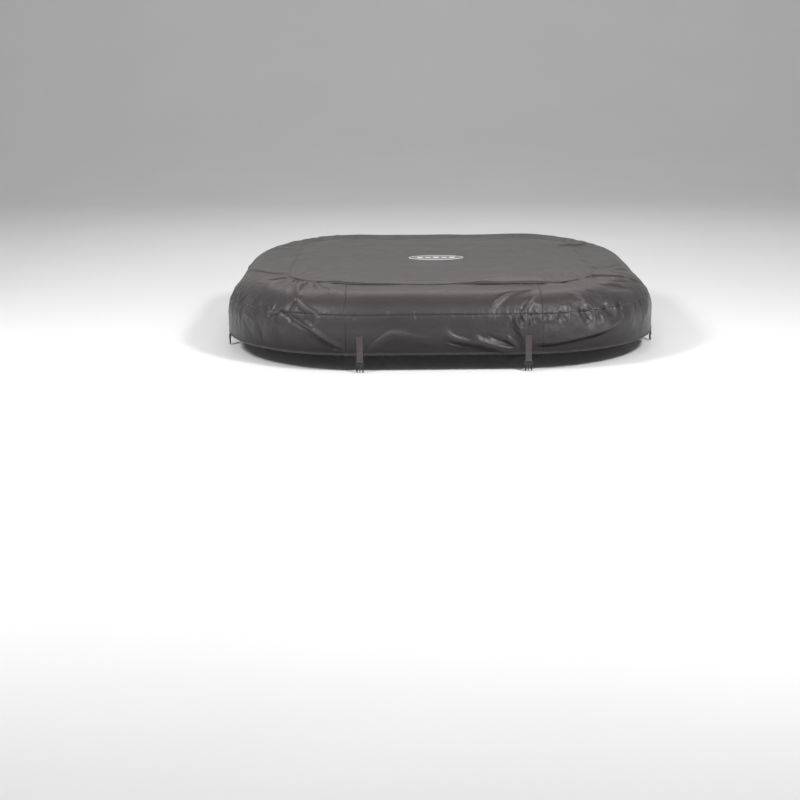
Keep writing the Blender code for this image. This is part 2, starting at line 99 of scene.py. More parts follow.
def form(a, d):
    """Point of the skin at a along its outer ring, from the front's middle to the right, and d outward."""
    a, d = np.broadcast_arrays(np.asarray(a, float), np.asarray(d, float))
    half, z, r = profile(d)
    s = half - r
    k = np.floor((a + TANGENT) / QUARTER)
    along = a - k * QUARTER
    turn = np.clip((along - TANGENT) / CORNER_R, 0, pi / 2)
    straight = along <= TANGENT
    x = np.where(straight, along * s / TANGENT, s + r * np.sin(turn))
    y = np.where(straight, -half, -s - r * np.cos(turn))
    c, n = np.cos(k * pi / 2), np.sin(k * pi / 2)
    return np.stack([x * c - y * n, x * n + y * c, z], -1)


def form_normal(a, d):
    """The plain form's outward direction, from its slopes."""
    e = 1e-4
    across = form(np.asarray(a) + e, d) - form(np.asarray(a) - e, d)
    down = form(a, np.asarray(d) + e) - form(a, np.asarray(d) - e)
    n = np.cross(across, -down)
    return n / np.linalg.norm(n, axis=-1, keepdims=True)


def seam_a(d):
    """Where, along the outer ring, the upright seam right of a side's middle lies."""
    half, _, r = profile(np.asarray(d, float))
    return TANGENT + CORNER_R * np.arcsin((SEAM_X - half + r) / r)


def side_of(a):
    """The place along the outer ring as a signed distance from the front's middle."""
    return np.mod(a + 2 * QUARTER, 4 * QUARTER) - 2 * QUARTER


def on_side(a):
    """The place along the outer ring as a signed distance from the nearest side's middle."""
    return np.mod(a + QUARTER / 2, QUARTER) - QUARTER / 2


# ---------------------------------------------------------------- noise


def lattice(seed):
    """A shuffled table of 256 cells and a random slope for each of them."""
    rng = np.random.RandomState(seed)
    table = rng.permutation(256)
    turn = rng.rand(256) * 2 * pi
    lift = rng.rand(256) * 2 - 1
    level = np.sqrt(1 - lift**2)
    slopes = np.stack([level * np.cos(turn), level * np.sin(turn), lift], -1)
    return np.concatenate([table, table, table]), slopes


def noise(p, scale, seed):
    """Smooth gradient noise from about -1 to 1, whose bumps are about scale across."""
    table, slopes = lattice(seed)
    q = np.asarray(p, float) / scale
    cell = np.floor(q).astype(int)
    f = q - cell
    fade = f**3 * (f * (f * 6 - 15) + 10)
    total = np.zeros(q.shape[:-1])
    for i in (0, 1):
        for j in (0, 1):
            for k in (0, 1):
                corner = (cell + (i, j, k)) & 255
                g = slopes[table[table[table[corner[..., 0]] + corner[..., 1]] + corner[..., 2]]]
                dot = ((f - (i, j, k)) * g).sum(-1)
                w = np.ones(q.shape[:-1])
                for axis, on in enumerate((i, j, k)):
                    w *= fade[..., axis] if on else 1 - fade[..., axis]
                total += w * dot
    return total * 1.6


def flat(u, v=0.0, w=0.0):
    """Points with these coordinates, where noise is read for a pattern that runs along a seam."""
    return np.stack(np.broadcast_arrays(u, v, w), -1)


def ease(x):
    """From 0 to 1 as x goes from 0 to 1, level at both ends."""
    x = np.clip(x, 0, 1)
    return x * x * (3 - 2 * x)


# ---------------------------------------------------------------- creases


def smooth_path(points, step):
    """A Catmull-Rom curve through points, sampled about step apart."""
    p = np.asarray(points, float)
    p = np.vstack([2 * p[0] - p[1], p, 2 * p[-1] - p[-2]])
    out = []
    for i in range(1, len(p) - 2):
        n = max(2, int(np.linalg.norm(p[i + 1] - p[i]) / step) + 1)
        t = np.linspace(0, 1, n, endpoint=False)[:, None]
        a, b, c, d = p[i - 1], p[i], p[i + 1], p[i + 2]
        out.append(0.5 * (2 * b + (c - a) * t + (2 * a - 5 * b + 4 * c - d) * t**2
                          + (3 * b - a - 3 * c + d) * t**3))
    return np.vstack(out + [p[-2][None]])


def lengths(points):
    """Distance along a path to each of its points."""
    steps = np.linalg.norm(np.diff(points, axis=0), axis=1)
    return np.concatenate([[0], np.cumsum(steps)])


class Crease:
    """A ridge, valley or lap of the cloth along a path on it: width and ends say how it swells and dies."""

    def __init__(self, points, kind, height, width, head=0.25, tail=0.3, grow=1.0, place="side"):
        path = smooth_path(points, 0.012)
        self.path = form(path[:, 0], path[:, 1]) if place == "side" else path
        if place == "side":
            self.normal = form_normal(path[:, 0], path[:, 1])
        else:
            self.normal = np.tile([0.0, 0.0, 1.0], (len(path), 1))
        self.along = lengths(self.path)
        self.kind, self.height, self.width = kind, height, width
        self.head, self.tail, self.grow, self.place = head, tail, grow, place
        reach = 3.6 * width * max(1.0, grow)
        self.low, self.high = self.path.min(0) - reach, self.path.max(0) + reach

    def shape(self, u, left):
        """Height of its cross-section at u widths from its line, for a height of 1."""
        if self.kind == "ridge":
            return np.exp(-u * u)
        if self.kind == "peak":
            return np.exp(-1.3 * u) * 0.6 + 0.4 * np.exp(-u * u)
        if self.kind == "vee":
            return -(np.exp(-1.5 * u) * 0.7 + 0.3 * np.exp(-u * u))
        if self.kind == "pinch":
            return (1 - 1.1 * u * u) * np.exp(-u * u * 0.9)
        # a lap is high on the left of its path, and cut off sharply on the right
        h = np.where(left, np.exp(-0.8 * u), np.exp(-(u * 3.2) ** 2))
        return h - 0.35 * np.where(left, 0.0, np.exp(-(((u - 0.55) / 0.35) ** 2)))

    def add(self, p, total, sharp):
        """Adds its height at the points p to total, and how sharp it is to sharp."""
        inside = np.all((p > self.low) & (p < self.high), axis=1).nonzero()[0]
        if not len(inside):
            return
        q = p[inside]
        best = np.full(len(q), 1e9)
        at = np.zeros(len(q))
        side = np.zeros(len(q))
        for i in range(len(self.path) - 1):
            a, b = self.path[i], self.path[i + 1]
            run = b - a
            size = run @ run
            t = np.clip((q - a) @ run / size, 0, 1)
            off = q - a - t[:, None] * run
            dist = np.einsum("ij,ij->i", off, off)
            near = dist < best
            best = np.where(near, dist, best)
            at = np.where(near, self.along[i] + t * sqrt(size), at)
            across = np.cross(run, self.normal[i])
            side = np.where(near, off @ across, side)
        t = at / self.along[-1]
        w = self.width * (1 + (self.grow - 1) * t)
        h = self.shape(np.sqrt(best) / w, side < 0)
        h = h * ease(t / max(self.head, 1e-3)) * ease((1 - t) / max(self.tail, 1e-3))
        total[inside] += self.height * h
        sharp[inside] += h * min(1.0, abs(self.height) / 0.004)


def hand_creases():
    """The larger creases of the cover as it is worn, mostly on its front and front corners."""
    made = []

    def add(kind, height, width, head, tail, *points, gain=2.3, grow=1.0, place="side"):
        """Height and width are in millimetres. Head and tail are the shares over which its ends die."""
        made.append(Crease(points, kind, gain * height / 1000, width / 1000, head, tail, grow, place))

    # front left: the fold from the left side to the panel's corner, and what hangs from that corner
    add("lap", 7, 26, 0.42, 0.1, (-1.56, .222), (-1.500, .208), (-1.40, .165), (-1.332, .141), (-1.27, .080),
        (-1.262, .030), (-1.25, .004), gain=0.9)
    add("vee", 3.0, 5, 0.1, 0.1, (-1.524, .221), (-1.40, .167), (-1.332, .143), (-1.272, .080),
        (-1.264, .030), (-1.252, .006), gain=1.3)
    add("ridge", 4, 12, 0.2, 0.12, (-.76, .010), (-.73, .080), (-.645, .171), (-.618, .219))
    add("vee", 3.6, 8, 0.1, 0.3, (-.722, .006), (-.710, .045), (-.665, .130), (-.632, .190), (-.638, .240),
        (-.660, .297))
    add("peak", 5.5, 8, 0.25, 0.25, (-.640, .190), (-.618, .222), (-.576, .249), (-.508, .282),
        (-.522, .322), (-.540, .332))
    add("vee", 5.0, 6, 0.2, 0.3, (-.640, .278), (-.620, .290), (-.576, .311), (-.530, .333), (-.512, .315))
    add("vee", 4.5, 8, 0.15, 0.2, (-.650, .292), (-.612, .310), (-.536, .349), (-.444, .404), (-.388, .419))
    add("ridge", 3.5, 12, 0.3, 0.25, (-.585, .300), (-.51, .345), (-.430, .389), (-.37, .405))
    add("peak", 3.2, 7, 0.3, 0.3, (-.764, .282), (-.700, .279), (-.688, .249))
    add("vee", 3.0, 6, 0.3, 0.3, (-.770, .292), (-.706, .292), (-.680, .262))
    add("vee", 2.8, 6, 0.25, 0.3, (-.704, .262), (-.652, .285), (-.628, .300))
    add("ridge", 3.0, 16, 0.2, 0.4, (-.64, .004), (-.545, .087), (-.432, .174), grow=1.5)
    add("vee", 2.4, 8, 0.1, 0.5, (-.665, .008), (-.610, .080), (-.564, .159))
    add("vee", 3.6, 9, 0.1, 0.5, (-.630, .006), (-.580, .050), (-.528, .108), (-.444, .171))
    for start, middle, end in (((-1.00, .010), (-.90, .087), (-.868, .150)),
                               ((-.90, .010), (-.80, .117), (-.780, .180)),
                               ((-.85, .008), (-.728, .123), (-.700, .190)),
                               ((-1.06, .010), (-1.02, .090), (-1.03, .160))):
        add("vee", 3.4, 10, 0.1, 0.5, start, middle, end, grow=1.3)
    add("ridge", 2.6, 18, 0.1, 0.5, (-.99, .01), (-.93, .10), (-.86, .20), grow=1.6)
    add("ridge", 2.4, 18, 0.1, 0.5, (-1.07, .01), (-1.08, .10), (-1.10, .20), grow=1.6)
    add("ridge", 2.2, 26, 0.4, 0.4, (-.95, .19), (-.90, .28), (-.87, .36), gain=1.2)
    add("ridge", 2.2, 26, 0.4, 0.4, (-1.15, .26), (-1.07, .33), (-1.02, .40), gain=1.2)
    add("vee", 1.6, 24, 0.4, 0.4, (-1.05, .24), (-.98, .31), (-.94, .38), gain=1.0)
    add("ridge", 2.0, 28, 0.4, 0.4, (-1.38, .22), (-1.30, .31), (-1.27, .38), gain=1.5)

    # the panel's seam, drawn in unevenly
    add("vee", 1.7, 9, 0.15, 0.4, (-1.26, .006), (-1.42, .008), (-1.60, .006), (-1.78, .007))
    add("ridge", 1.5, 14, 0.3, 0.4, (-1.32, .034), (-1.48, .038), (-1.70, .034))
    add("vee", 5.0, 5, 0.3, 0.3, (-.70, .004), (-.58, .008), (-.47, .007), (-.36, .006), gain=1.6)
    add("vee", 3.6, 4, 0.3, 0.4, (-.40, .008), (-.30, .006), (-.16, .005), gain=1.6)
    add("vee", 3.0, 4, 0.3, 0.3, (.12, .006), (.24, .008), (.33, .006), gain=1.6)

    # front, between the straps
    add("peak", 3.6, 10, 0.1, 0.5, (-.318, .430), (-.276, .390), (-.224, .351), (-.192, .345), (-.108, .357),
        (-.016, .366))
    add("vee", 2.6, 12, 0.3, 0.4, (-.262, .415), (-.200, .375), (-.110, .385), (-.02, .400))
    add("ridge", 3.8, 11, 0.3, 0.3, (-.010, .320), (.032, .362), (.088, .381), (.160, .394), gain=2.6)
    add("vee", 3.4, 9, 0.3, 0.2, (-.03, .345), (.020, .385), (.100, .402), (.180, .417), (.25, .432))
    add("ridge", 13.0, 15, 0.25, 0.12, (.100, .345), (.140, .379), (.200, .402), (.300, .426), gain=1.0)
    add("vee", 3.0, 8, 0.3, 0.2, (.150, .338), (.192, .368), (.252, .394), (.302, .412))
    add("ridge", 11.0, 11, 0.5, 0.08, (.215, .335), (.256, .372), (.290, .406), (.312, .428), gain=1.0)
    add("vee", 4.6, 8, 0.25, 0.1, (.245, .292), (.288, .350), (.312, .392), (.320, .425))

    # front right: domes and puckers round the two seams
    add("peak", 3.4, 8, 0.2, 0.25, (.400, .126), (.340, .142), (.272, .174), (.208, .231), (.184, .270),
        (.176, .318))
    add("vee", 2.2, 9, 0.3, 0.3, (.370, .116), (.300, .138), (.232, .180), (.176, .240))
    add("peak", 3.2, 7, 0.3, 0.3, (.384, .180), (.356, .219), (.328, .252), (.324, .282), (.324, .355))
    add("vee", 2.4, 7, 0.3, 0.3, (.362, .190), (.318, .236), (.304, .290), (.310, .340))
    add("peak", 4.6, 5, 0.25, 0.25, (.290, .266), (.286, .300), (.298, .328), (.318, .338))
    add("vee", 3.6, 5, 0.25, 0.3, (.272, .272), (.276, .318), (.300, .344))
    add("peak", 3.6, 5, 0.3, 0.3, (.343, .276), (.344, .300), (.349, .334))
    add("peak", 3.6, 5, 0.2, 0.2, (.374, .275), (.384, .303), (.398, .304), (.414, .275))
    add("peak", 5.0, 7, 0.15, 0.15, (.532, .262), (.540, .300), (.564, .338), (.588, .347), (.606, .318),
        (.611, .273), (.590, .236), gain=2.2)
    add("vee", 3.6, 9, 0.3, 0.3, (.572, .262), (.576, .300), (.582, .322))
    add("peak", 3.2, 6, 0.3, 0.3, (.486, .336), (.500, .300), (.512, .252), (.505, .225))
    add("ridge", 2.0, 9, 0.3, 0.3, (.520, .170), (.570, .200), (.600, .236), gain=1.4)
    add("peak", 4.0, 7, 0.25, 0.25, (.688, .240), (.700, .262), (.728, .318))
    add("vee", 3.6, 6, 0.3, 0.3, (.672, .258), (.690, .292), (.704, .334))
    add("peak", 3.2, 7, 0.3, 0.3, (.735, .270), (.765, .300), (.770, .330))
    add("lap", 5.5, 19, 0.15, 0.3, (.334, .389), (.400, .388), (.468, .385), (.584, .371), (.696, .350),
        (.76, .328), gain=2.6)
    add("vee", 2.0, 6, 0.3, 0.3, (.40, .395), (.468, .391), (.584, .378), (.690, .359))
    add("ridge", 2.4, 16, 0.3, 0.4, (.716, .205), (.80, .215), (.956, .236))
    add("ridge", 2.4, 19, 0.35, 0.35, (.555, .352), (.63, .342), (.70, .324))
    add("ridge", 1.8, 22, 0.4, 0.4, (.86, .26), (.84, .33), (.83, .39))
    add("ridge", 1.1, 26, 0.4, 0.4, (1.02, .25), (1.01, .33), (1.0, .40))
    add("vee", 0.9, 14, 0.4, 0.4, (.94, .25), (.93, .33), (.93, .40))

    # right side and front right corner: long soft gathers from the panel's corner
    add("lap", 3.4, 30, 0.03, 0.3, (1.000, .000), (1.042, .035), (1.050, .080), (1.052, .125), (1.085, .165))
    add("vee", 3.8, 18, 0.1, 0.4, (1.345, .005), (1.352, .085), (1.410, .140), (1.51, .190))
    add("vee", 3.8, 17, 0.1, 0.3, (1.300, .010), (1.292, .060), (1.265, .110), (1.342, .190))
    add("vee", 3.0, 13, 0.2, 0.4, (.900, .015), (.912, .070), (.912, .125), (.960, .160), (1.036, .205))
    add("vee", 2.6, 10, 0.3, 0.4, (.780, .036), (.765, .090), (.780, .135), (.850, .175), (.952, .237))
    add("vee", 2.2, 8, 0.3, 0.4, (.632, .168), (.676, .201), (.708, .240))
    add("vee", 2.6, 11, 0.3, 0.4, (1.130, .110), (1.080, .177), (1.116, .232))
    add("ridge", 2.2, 18, 0.2, 0.4, (1.18, .020), (1.175, .090), (1.17, .160))
    add("ridge", 1.6, 14, 0.2, 0.4, (.975, .030), (.985, .100), (1.01, .170))
    add("ridge", 1.8, 16, 0.3, 0.4, (.83, .06), (.87, .15), (.94, .22))
    add("lap", 3.0, 38, 0.03, 0.4, (1.985, .000), (2.02, .040), (2.09, .085), (2.20, .125))
    add("vee", 2.6, 7, 0.15, 0.5, (.335, .004), (.30, .030), (.235, .046), (.15, .06))
    add("ridge", 2.2, 14, 0.3, 0.4, (.42, .02), (.50, .05), (.62, .06))

    # the middle panel: low ridges that run along its front edge and into its corners
    top = {"gain": 1.0, "place": "top"}
    add("peak", 4.5, 6, 0.2, 0.3, (-.610, -.470, .006), (-.590, -.545, .006), (-.535, -.606, .006),
        (-.46, -.634, .006), (-.38, -.638, .006), **top)
    add("peak", 4.0, 5, 0.3, 0.4, (-.47, -.628, .006), (-.38, -.637, .006), (-.28, -.639, .006), **top)
    add("peak", 3.0, 5, 0.3, 0.4, (.02, -.637, .006), (.16, -.634, .006), (.30, -.637, .006), **top)
    add("lap", 7.0, 45, 0.2, 0.2, (.44, -.548, .015), (.413, -.559, .015), (.352, -.590, .015),
        (.273, -.582, .015), (.185, -.622, .012), (.10, -.638, .008), **top)
    add("lap", 6.0, 60, 0.2, 0.3, (.600, -.500, .014), (.585, -.479, .014), (.535, -.401, .016),
        (.466, -.412, .016), (.431, -.516, .016), **top)
    add("vee", 3.6, 14, 0.3, 0.2, (.535, -.420, .015), (.560, -.480, .014), (.598, -.530, .012), **top)
    add("peak", 3.0, 18, 0.4, 0.3, (.0, -.560, .016), (.16, -.545, .016), (.32, -.500, .017),
        (.42, -.46, .017), **top)
    add("vee", 3.0, 10, 0.3, 0.3, (-.52, -.585, .01), (-.44, -.612, .01), (-.34, -.625, .01), **top)
    add("ridge", 3.4, 16, 0.2, 0.4, (-.60, -.46, .01), (-.585, -.30, .013), (-.60, -.12, .012), **top)
    add("vee", 3.2, 10, 0.1, 0.6, (-.595, -.49, .01), (-.52, -.42, .014), (-.45, -.33, .016), **top)
    add("ridge", 4.0, 22, 0.3, 0.4, (.484, .592, .012), (.525, .430, .016), (.561, .238, .016), **top)
    add("lap", 7.0, 42, 0.3, 0.1, (.535, .360, .016), (.570, .340, .016), (.612, .375, .013),
        (.650, .425, .008), **top)
    add("ridge", 2.6, 26, 0.4, 0.4, (.30, .30, .02), (.42, .05, .02), (.50, -.25, .018), **top)
    add("ridge", 2.2, 30, 0.4, 0.4, (-.35, .45, .02), (-.20, .10, .02), (-.25, -.20, .02), **top)
    return made


def random_creases():
    """Smaller creases of the same kinds: gathers at the panel's corners, puckers on the seams."""
    rng = np.random.RandomState(41)
    made = []
    kinds = ("vee", "peak", "ridge")
    crown = 0.018  # height of the creases on the middle panel

    def add(points, kind, heights, widths, *ends, gain=1.0, place="side"):
        """A crease whose height and width are drawn from two ranges; ends are head, tail and grow."""
        height, width = gain * rng.uniform(*heights), rng.uniform(*widths)
        made.append(Crease(points, kind, height, width, *ends, place=place))

    for corner in range(1, 3):  # the two back corners of the middle panel
        middle = (corner + 0.5) * QUARTER
        for i in range(15):
            start = middle + rng.uniform(-0.20, 0.20)
            end = start + (start - middle) * rng.uniform(0.6, 1.7) + rng.uniform(-0.03, 0.03)
            reach = rng.uniform(0.10, 0.25)
            points = ((start, .005), ((start + end) / 2 + rng.uniform(-.01, .01), reach / 2), (end, reach))
            add(points, kinds[i % 3], (0.0012, 0.0028), (0.008, 0.015), 0.1, 0.5, 1.6)
    # long folds that run slantwise down the skirt and die at the straps and hem
    for side in (1, 2, 3):
        for i in range(20):
            a = side * QUARTER + rng.uniform(-0.75, 0.75)
            lean = rng.uniform(0.03, 0.16) * rng.choice([-1, 1])
            d = rng.uniform(0.26, 0.33)
            fall = rng.uniform(0.07, 0.13)
            points = ((a, d), (a + lean * 0.6, d + fall * 0.45), (a + lean, min(d + fall, 0.43)))
            gain = 0.3 if abs(side_of(a)) < 1.25 else 1.0  # nearly smooth beside the two front corners
            kind = ("peak", "vee", "vee", "ridge")[i % 4]
            add(points, kind, (0.0032, 0.0078), (0.008, 0.015), 0.3, 0.25, gain=gain)
    # short puckers that cross the seam over the skirt, crowded where the cloth is eased in
    spans = [(0.19, 0.80, 34), (-0.80, -0.50, 5), (-0.45, 0.19, 5), (0.80, 1.55, 12), (-1.55, -0.80, 8)]
    spans += [(QUARTER + 0.2, QUARTER + 0.85, 26), (2 * QUARTER - 0.85, 2 * QUARTER - 0.2, 26)]
    spans += [(2 * QUARTER + 0.1, 2 * QUARTER + 0.8, 24), (3 * QUARTER - 0.75, 3 * QUARTER - 0.2, 22)]
    for low, high, count in spans:
        gain = min(1.0, 0.45 + count / (high - low) / 90)
        for i in range(count):
            a = rng.uniform(low, high)
            lean = rng.uniform(-0.012, 0.012)
            up, down = rng.uniform(0.010, 0.030), rng.uniform(0.015, 0.045)
            bow = rng.uniform(-0.006, 0.006)
            points = ((a + lean, SEAM_D - up), (a + bow, SEAM_D), (a - lean, SEAM_D + down))
            kind = ("peak", "vee", "peak", "vee", "pinch")[i % 5]
            add(points, kind, (0.0018, 0.0052), (0.0042, 0.0080), 0.4, 0.4, gain=gain)
    # faint lines left by folding, over the whole cover
    for i in range(26):
        a = rng.uniform(0, 4 * QUARTER)
        d = rng.uniform(0.02, 0.34)
        turn = rng.uniform(-0.6, 0.6)
        size = rng.uniform(0.04, 0.12)
        points = ((a, d), (a + size * cos(turn) / 2, d + size * sin(turn) / 2),
                  (a + size * cos(turn), np.clip(d + size * sin(turn), 0.01, 0.42)))
        add(points, kinds[i % 3], (0.0007, 0.0016), (0.005, 0.010), 0.4, 0.4)
    for i in range(34):
        x, y = rng.uniform(-0.56, 0.56, 2)
        turn = rng.uniform(0, pi)
        size = rng.uniform(0.08, 0.26)
        tip_x, tip_y = np.clip(x + size * cos(turn), -.6, .6), np.clip(y + size * sin(turn), -.6, .6)
        bend_x = (x + tip_x) / 2 + rng.uniform(-.015, .015)
        bend_y = (y + tip_y) / 2 + rng.uniform(-.015, .015)
        points = ((x, y, crown), (bend_x, bend_y, crown), (tip_x, tip_y, crown))
        add(points, kinds[i % 3], (0.0007, 0.0022), (0.008, 0.018), 0.45, 0.45, place="top")
    return made


CREASES = hand_creases() + random_creases()
# patches where the cloth is crumpled: middle in (a, d), depth, and spread along and across
CRUMPLES = [
    (-0.70, 0.30, 0.0020, 0.16, 0.075),
    (-1.10, 0.25, 0.0010, 0.20, 0.090),
    (0.30, 0.30, 0.0040, 0.16, 0.065),
    (0.58, 0.29, 0.0036, 0.17, 0.055),
    (0.95, 0.22, 0.0018, 0.22, 0.090),
    (1.35, 0.10, 0.0022, 0.25, 0.090),
    (QUARTER + 0.30, 0.31, 0.0036, 0.30, 0.080),
    (1.5 * QUARTER, 0.22, 0.0034, 0.30, 0.110),
    (2 * QUARTER - 0.35, 0.34, 0.0038, 0.25, 0.060),
    (2 * QUARTER + 0.40, 0.32, 0.0034, 0.30, 0.070),
    (2.5 * QUARTER, 0.24, 0.0036, 0.30, 0.110),
    (3 * QUARTER - 0.20, 0.34, 0.0034, 0.30, 0.060),
    (3 * QUARTER + 0.50, 0.30, 0.0034, 0.24, 0.080),
]


def crumple(p, seed):
    """Sharp folds between soft facets, from 0 to about 1, some 60 mm apart."""
    bend = np.stack([noise(p, 0.09, seed + k) for k in (1, 2, 3)], -1) * 0.022
    q = (p + bend) * (1.0, 1.0, 0.62)
    big = 1 - np.abs(noise(q, 0.055, seed + 4)) * 2.2
    small = 1 - np.abs(noise(q, 0.024, seed + 5)) * 2.2
    return np.maximum(big, 0) ** 2 + 0.35 * np.maximum(small, 0) ** 2


# broad swellings of the skin: middle in (a, d), height, and spread along and across
SWELLS = [
    (2 * QUARTER - 0.30, 0.13, 0.012, 0.55, 0.10),
    (2 * QUARTER + 0.45, 0.13, 0.008, 0.45, 0.10),
    (2 * QUARTER - 0.62, 0.13, 0.006, 0.24, 0.08),
    (2 * QUARTER + 0.62, 0.13, 0.008, 0.26, 0.08),
    (-0.58, 0.24, 0.005, 0.10, 0.05),
    (0.55, 0.22, 0.002, 0.16, 0.05),
    (0.44, 0.36, 0.006, 0.10, 0.03),
    (0.64, 0.33, 0.005, 0.07, 0.04),
]


def bell(a, d, mid_a, mid_d, spread_a, spread_d):
    """How much a patch of the skin round (mid_a, mid_d) counts at (a, d): 1 in its middle, 0 far off."""
    far = side_of(a - mid_a)
    return np.exp(-((far / spread_a) ** 2) - ((d - mid_d) / spread_d) ** 2)


def front_rise(a):
    """The seam round the middle panel is drawn up left of the front's middle."""
    return 0.014 * np.exp(-(((side_of(a) + 0.53) / 0.19) ** 2))


def seam_lift(a):
    """How much higher than its plain form the seam round the middle panel lies."""
    away = ease((np.abs(side_of(a)) - 0.50) / 0.35)
    wave = 0.0034 * noise(flat(a), 0.13, 61) + 0.0016 * noise(flat(a), 0.05, 62)
    return 0.0062 * away + wave


def side_relief(p, a, d):
    """How far the band and skirt stand out from their plain form, and how sharply they are creased."""
    total, sharp = np.zeros(len(p)), np.zeros(len(p))
    total += 0.0034 * noise(p, 0.30, 3) + 0.0012 * noise(p, 0.11, 5)
    total += 0.0002 * noise(p, 0.036, 8)
    low = ease((d - SEAM_D) / 0.06)
    total += low * (0.0026 * noise(p, 0.17, 11) + 0.0012 * noise(p, 0.06, 12))
    for crease in CREASES:
        if crease.place == "side":
            crease.add(p, total, sharp)
    for mid_a, mid_d, height, spread_a, spread_d in SWELLS:
        total += height * bell(a, d, mid_a, mid_d, spread_a, spread_d)
    rough = crumple(p, 81) - 0.25
    for mid_a, mid_d, depth, spread_a, spread_d in CRUMPLES:
        here = bell(a, d, mid_a, mid_d, spread_a, spread_d)
        total += depth * rough * here
        sharp += 0.5 * rough * here
    # small tucks square to the seams
    along = flat(a, d * 0.15)
    tucks = noise(along, 0.014, 21) + 0.6 * noise(along, 0.007, 22)
    upright, level = np.abs(np.abs(on_side(a)) - seam_a(d)), np.abs(d - SEAM_D)
    total += 0.0009 * tucks * np.exp(-level / 0.010) + 0.0011 * tucks * np.exp(-d / 0.012)
    total += 0.0006 * noise(flat(d, a * 0.15), 0.012, 23) * np.exp(-upright / 0.008)
    hem = HEM_D - d
    total += 0.0010 * noise(flat(a), 0.05, 24) * np.exp(-hem / 0.03)
    # the cloth lies flat under each strap, and comes back to its form at the hem and the middle panel
    aside = np.abs(np.abs(on_side(a)) - STRAP_X)
    under = (1 - ease((aside - 0.014) / 0.02)) * ease((d - 0.335) / 0.02)
    total = np.maximum(total, -0.012) * (1 - under)
    total *= 0.35 + 0.65 * ease(hem / 0.03)
    total *= ease(d / 0.009)
    # the seam round the middle panel stands higher away from the front, and waves along it
    total += seam_lift(a) * np.exp(-d / 0.035) + front_rise(a) * np.exp(-d / 0.05)
    # rolled edges at the seams
    front = 1 - ease((np.abs(side_of(a)) - 0.62) / 0.25)
    skirt = ease((d - SEAM_D) / 0.01)
    total -= 0.0013 * (0.35 + 0.65 * front) * np.exp(-((level / 0.0028) ** 2))
    total -= 0.0008 * (1 - 0.6 * skirt) * np.exp(-((upright / 0.0026) ** 2))
    total -= 0.0010 * np.exp(-((d / 0.003) ** 2))
    return total, sharp


def top_relief(p, half):
    """The same for the middle panel: how far it stands out, and how sharply it is creased."""
    total, sharp = np.zeros(len(p)), np.zeros(len(p))
    total += 0.0030 * noise(p, 0.42, 31) + 0.0012 * noise(p, 0.15, 32) + 0.0003 * noise(p, 0.04, 33)
    for crease in CREASES:
        if crease.place == "top":
            crease.add(p, total, sharp)
    edge = TOP_HALF - half
    ring = flat(np.arctan2(p[:, 1], p[:, 0]) * 0.75, 0.0, edge * 0.2)
    tucks = noise(ring, 0.016, 34) + 0.5 * noise(ring, 0.008, 35)
    total += 0.0010 * tucks * np.exp(-edge / 0.016)
    total *= ease(edge / 0.007)
    # flat under the patch
    out = np.hypot((p[:, 0] - PATCH_X) / (PATCH_LENGTH / 2), (p[:, 1] - PATCH_Y) / (PATCH_WIDTH / 2))
    total *= ease((out - 1.0) / 0.5)
    # the sewn edge follows the seam round the panel
    place = ring_place(p)
    total += seam_lift(place) * np.exp(-edge / 0.022) + front_rise(place) * np.exp(-edge / 0.06)
    total -= 0.0006 * np.exp(-((edge / 0.003) ** 2))
    return total, sharp


def ring_place(p):
    """The place along the outer ring that a point of the middle panel faces."""
    x, y = p[:, 0], p[:, 1]
    k = np.floor((np.arctan2(x, -y) + pi / 4) / (pi / 2))
    c, n = np.cos(k * pi / 2), np.sin(k * pi / 2)
    across, out = x * c + y * n, np.maximum(x * n - y * c, 1e-6)
    straight = TOP_HALF - TOP_CORNER_R
    scale = TOP_HALF / out
    across = across * scale
    turn = np.arctan2(np.abs(across) - straight, TOP_CORNER_R * 0.8)
    past = TANGENT + CORNER_R * np.clip(turn, 0, pi / 4)
    place = np.where(np.abs(across) <= straight, across * TANGENT / straight, np.sign(across) * past)
    return k * QUARTER + place


# ---------------------------------------------------------------- meshes


def linked(name, data):
    """A new object with this data, put in the scene."""
    made = bpy.data.objects.new(name, data)
    bpy.context.scene.collection.objects.link(made)
    return made


def shade(mesh, angle):
    """Smooth shading, but for the edges sharper than angle, in degrees."""
    mesh.shade_smooth()
    mesh.set_sharp_from_angle(angle=radians(angle))


def weave_map(made, places):
    """The UV map, in metres, that a woven look reads, from one place for each vertex."""
    uv = made.data.uv_layers.new(name="weave")
    row = np.empty(len(made.data.loops), np.int32)
    made.data.loops.foreach_get("vertex_index", row)
    uv.data.foreach_set("uv", places[row].ravel())


def quads(rows, cols, start=0):
    """The faces of a grid of points."""
    r, c = np.meshgrid(np.arange(rows - 1), np.arange(cols - 1), indexing="ij")
    i = (r * cols + c).ravel() + start
    return np.stack([i, i + 1, i + cols + 1, i + cols], -1)


def tube_faces(pairs, size):
    """The faces between pairs of closed rings, in a mesh made of rings of size points."""
    faces = []
    for i, j in pairs:
        for k in range(size):
            m = (k + 1) % size
            faces.append((i * size + k, i * size + m, j * size + m, j * size + k))
    return faces


def oval(x, y, half_x, half_y, count):
    """Points round an ellipse."""
    turns = [2 * pi * i / count for i in range(count)]
    return [(x + half_x * cos(turn), y + half_y * sin(turn)) for turn in turns]


def valve_rings(sizes, count):
    """Level rings round the valve's axis, from pairs of radius and height."""
    return [[(x, y, z) for x, y in oval(VALVE_X, VALVE_Y, r, r, count)] for r, z in sizes]


def box_outline(x, y):
    """The corners of a rectangle from its half sizes."""
    return [(-x, -y), (x, -y), (x, y), (-x, y)]


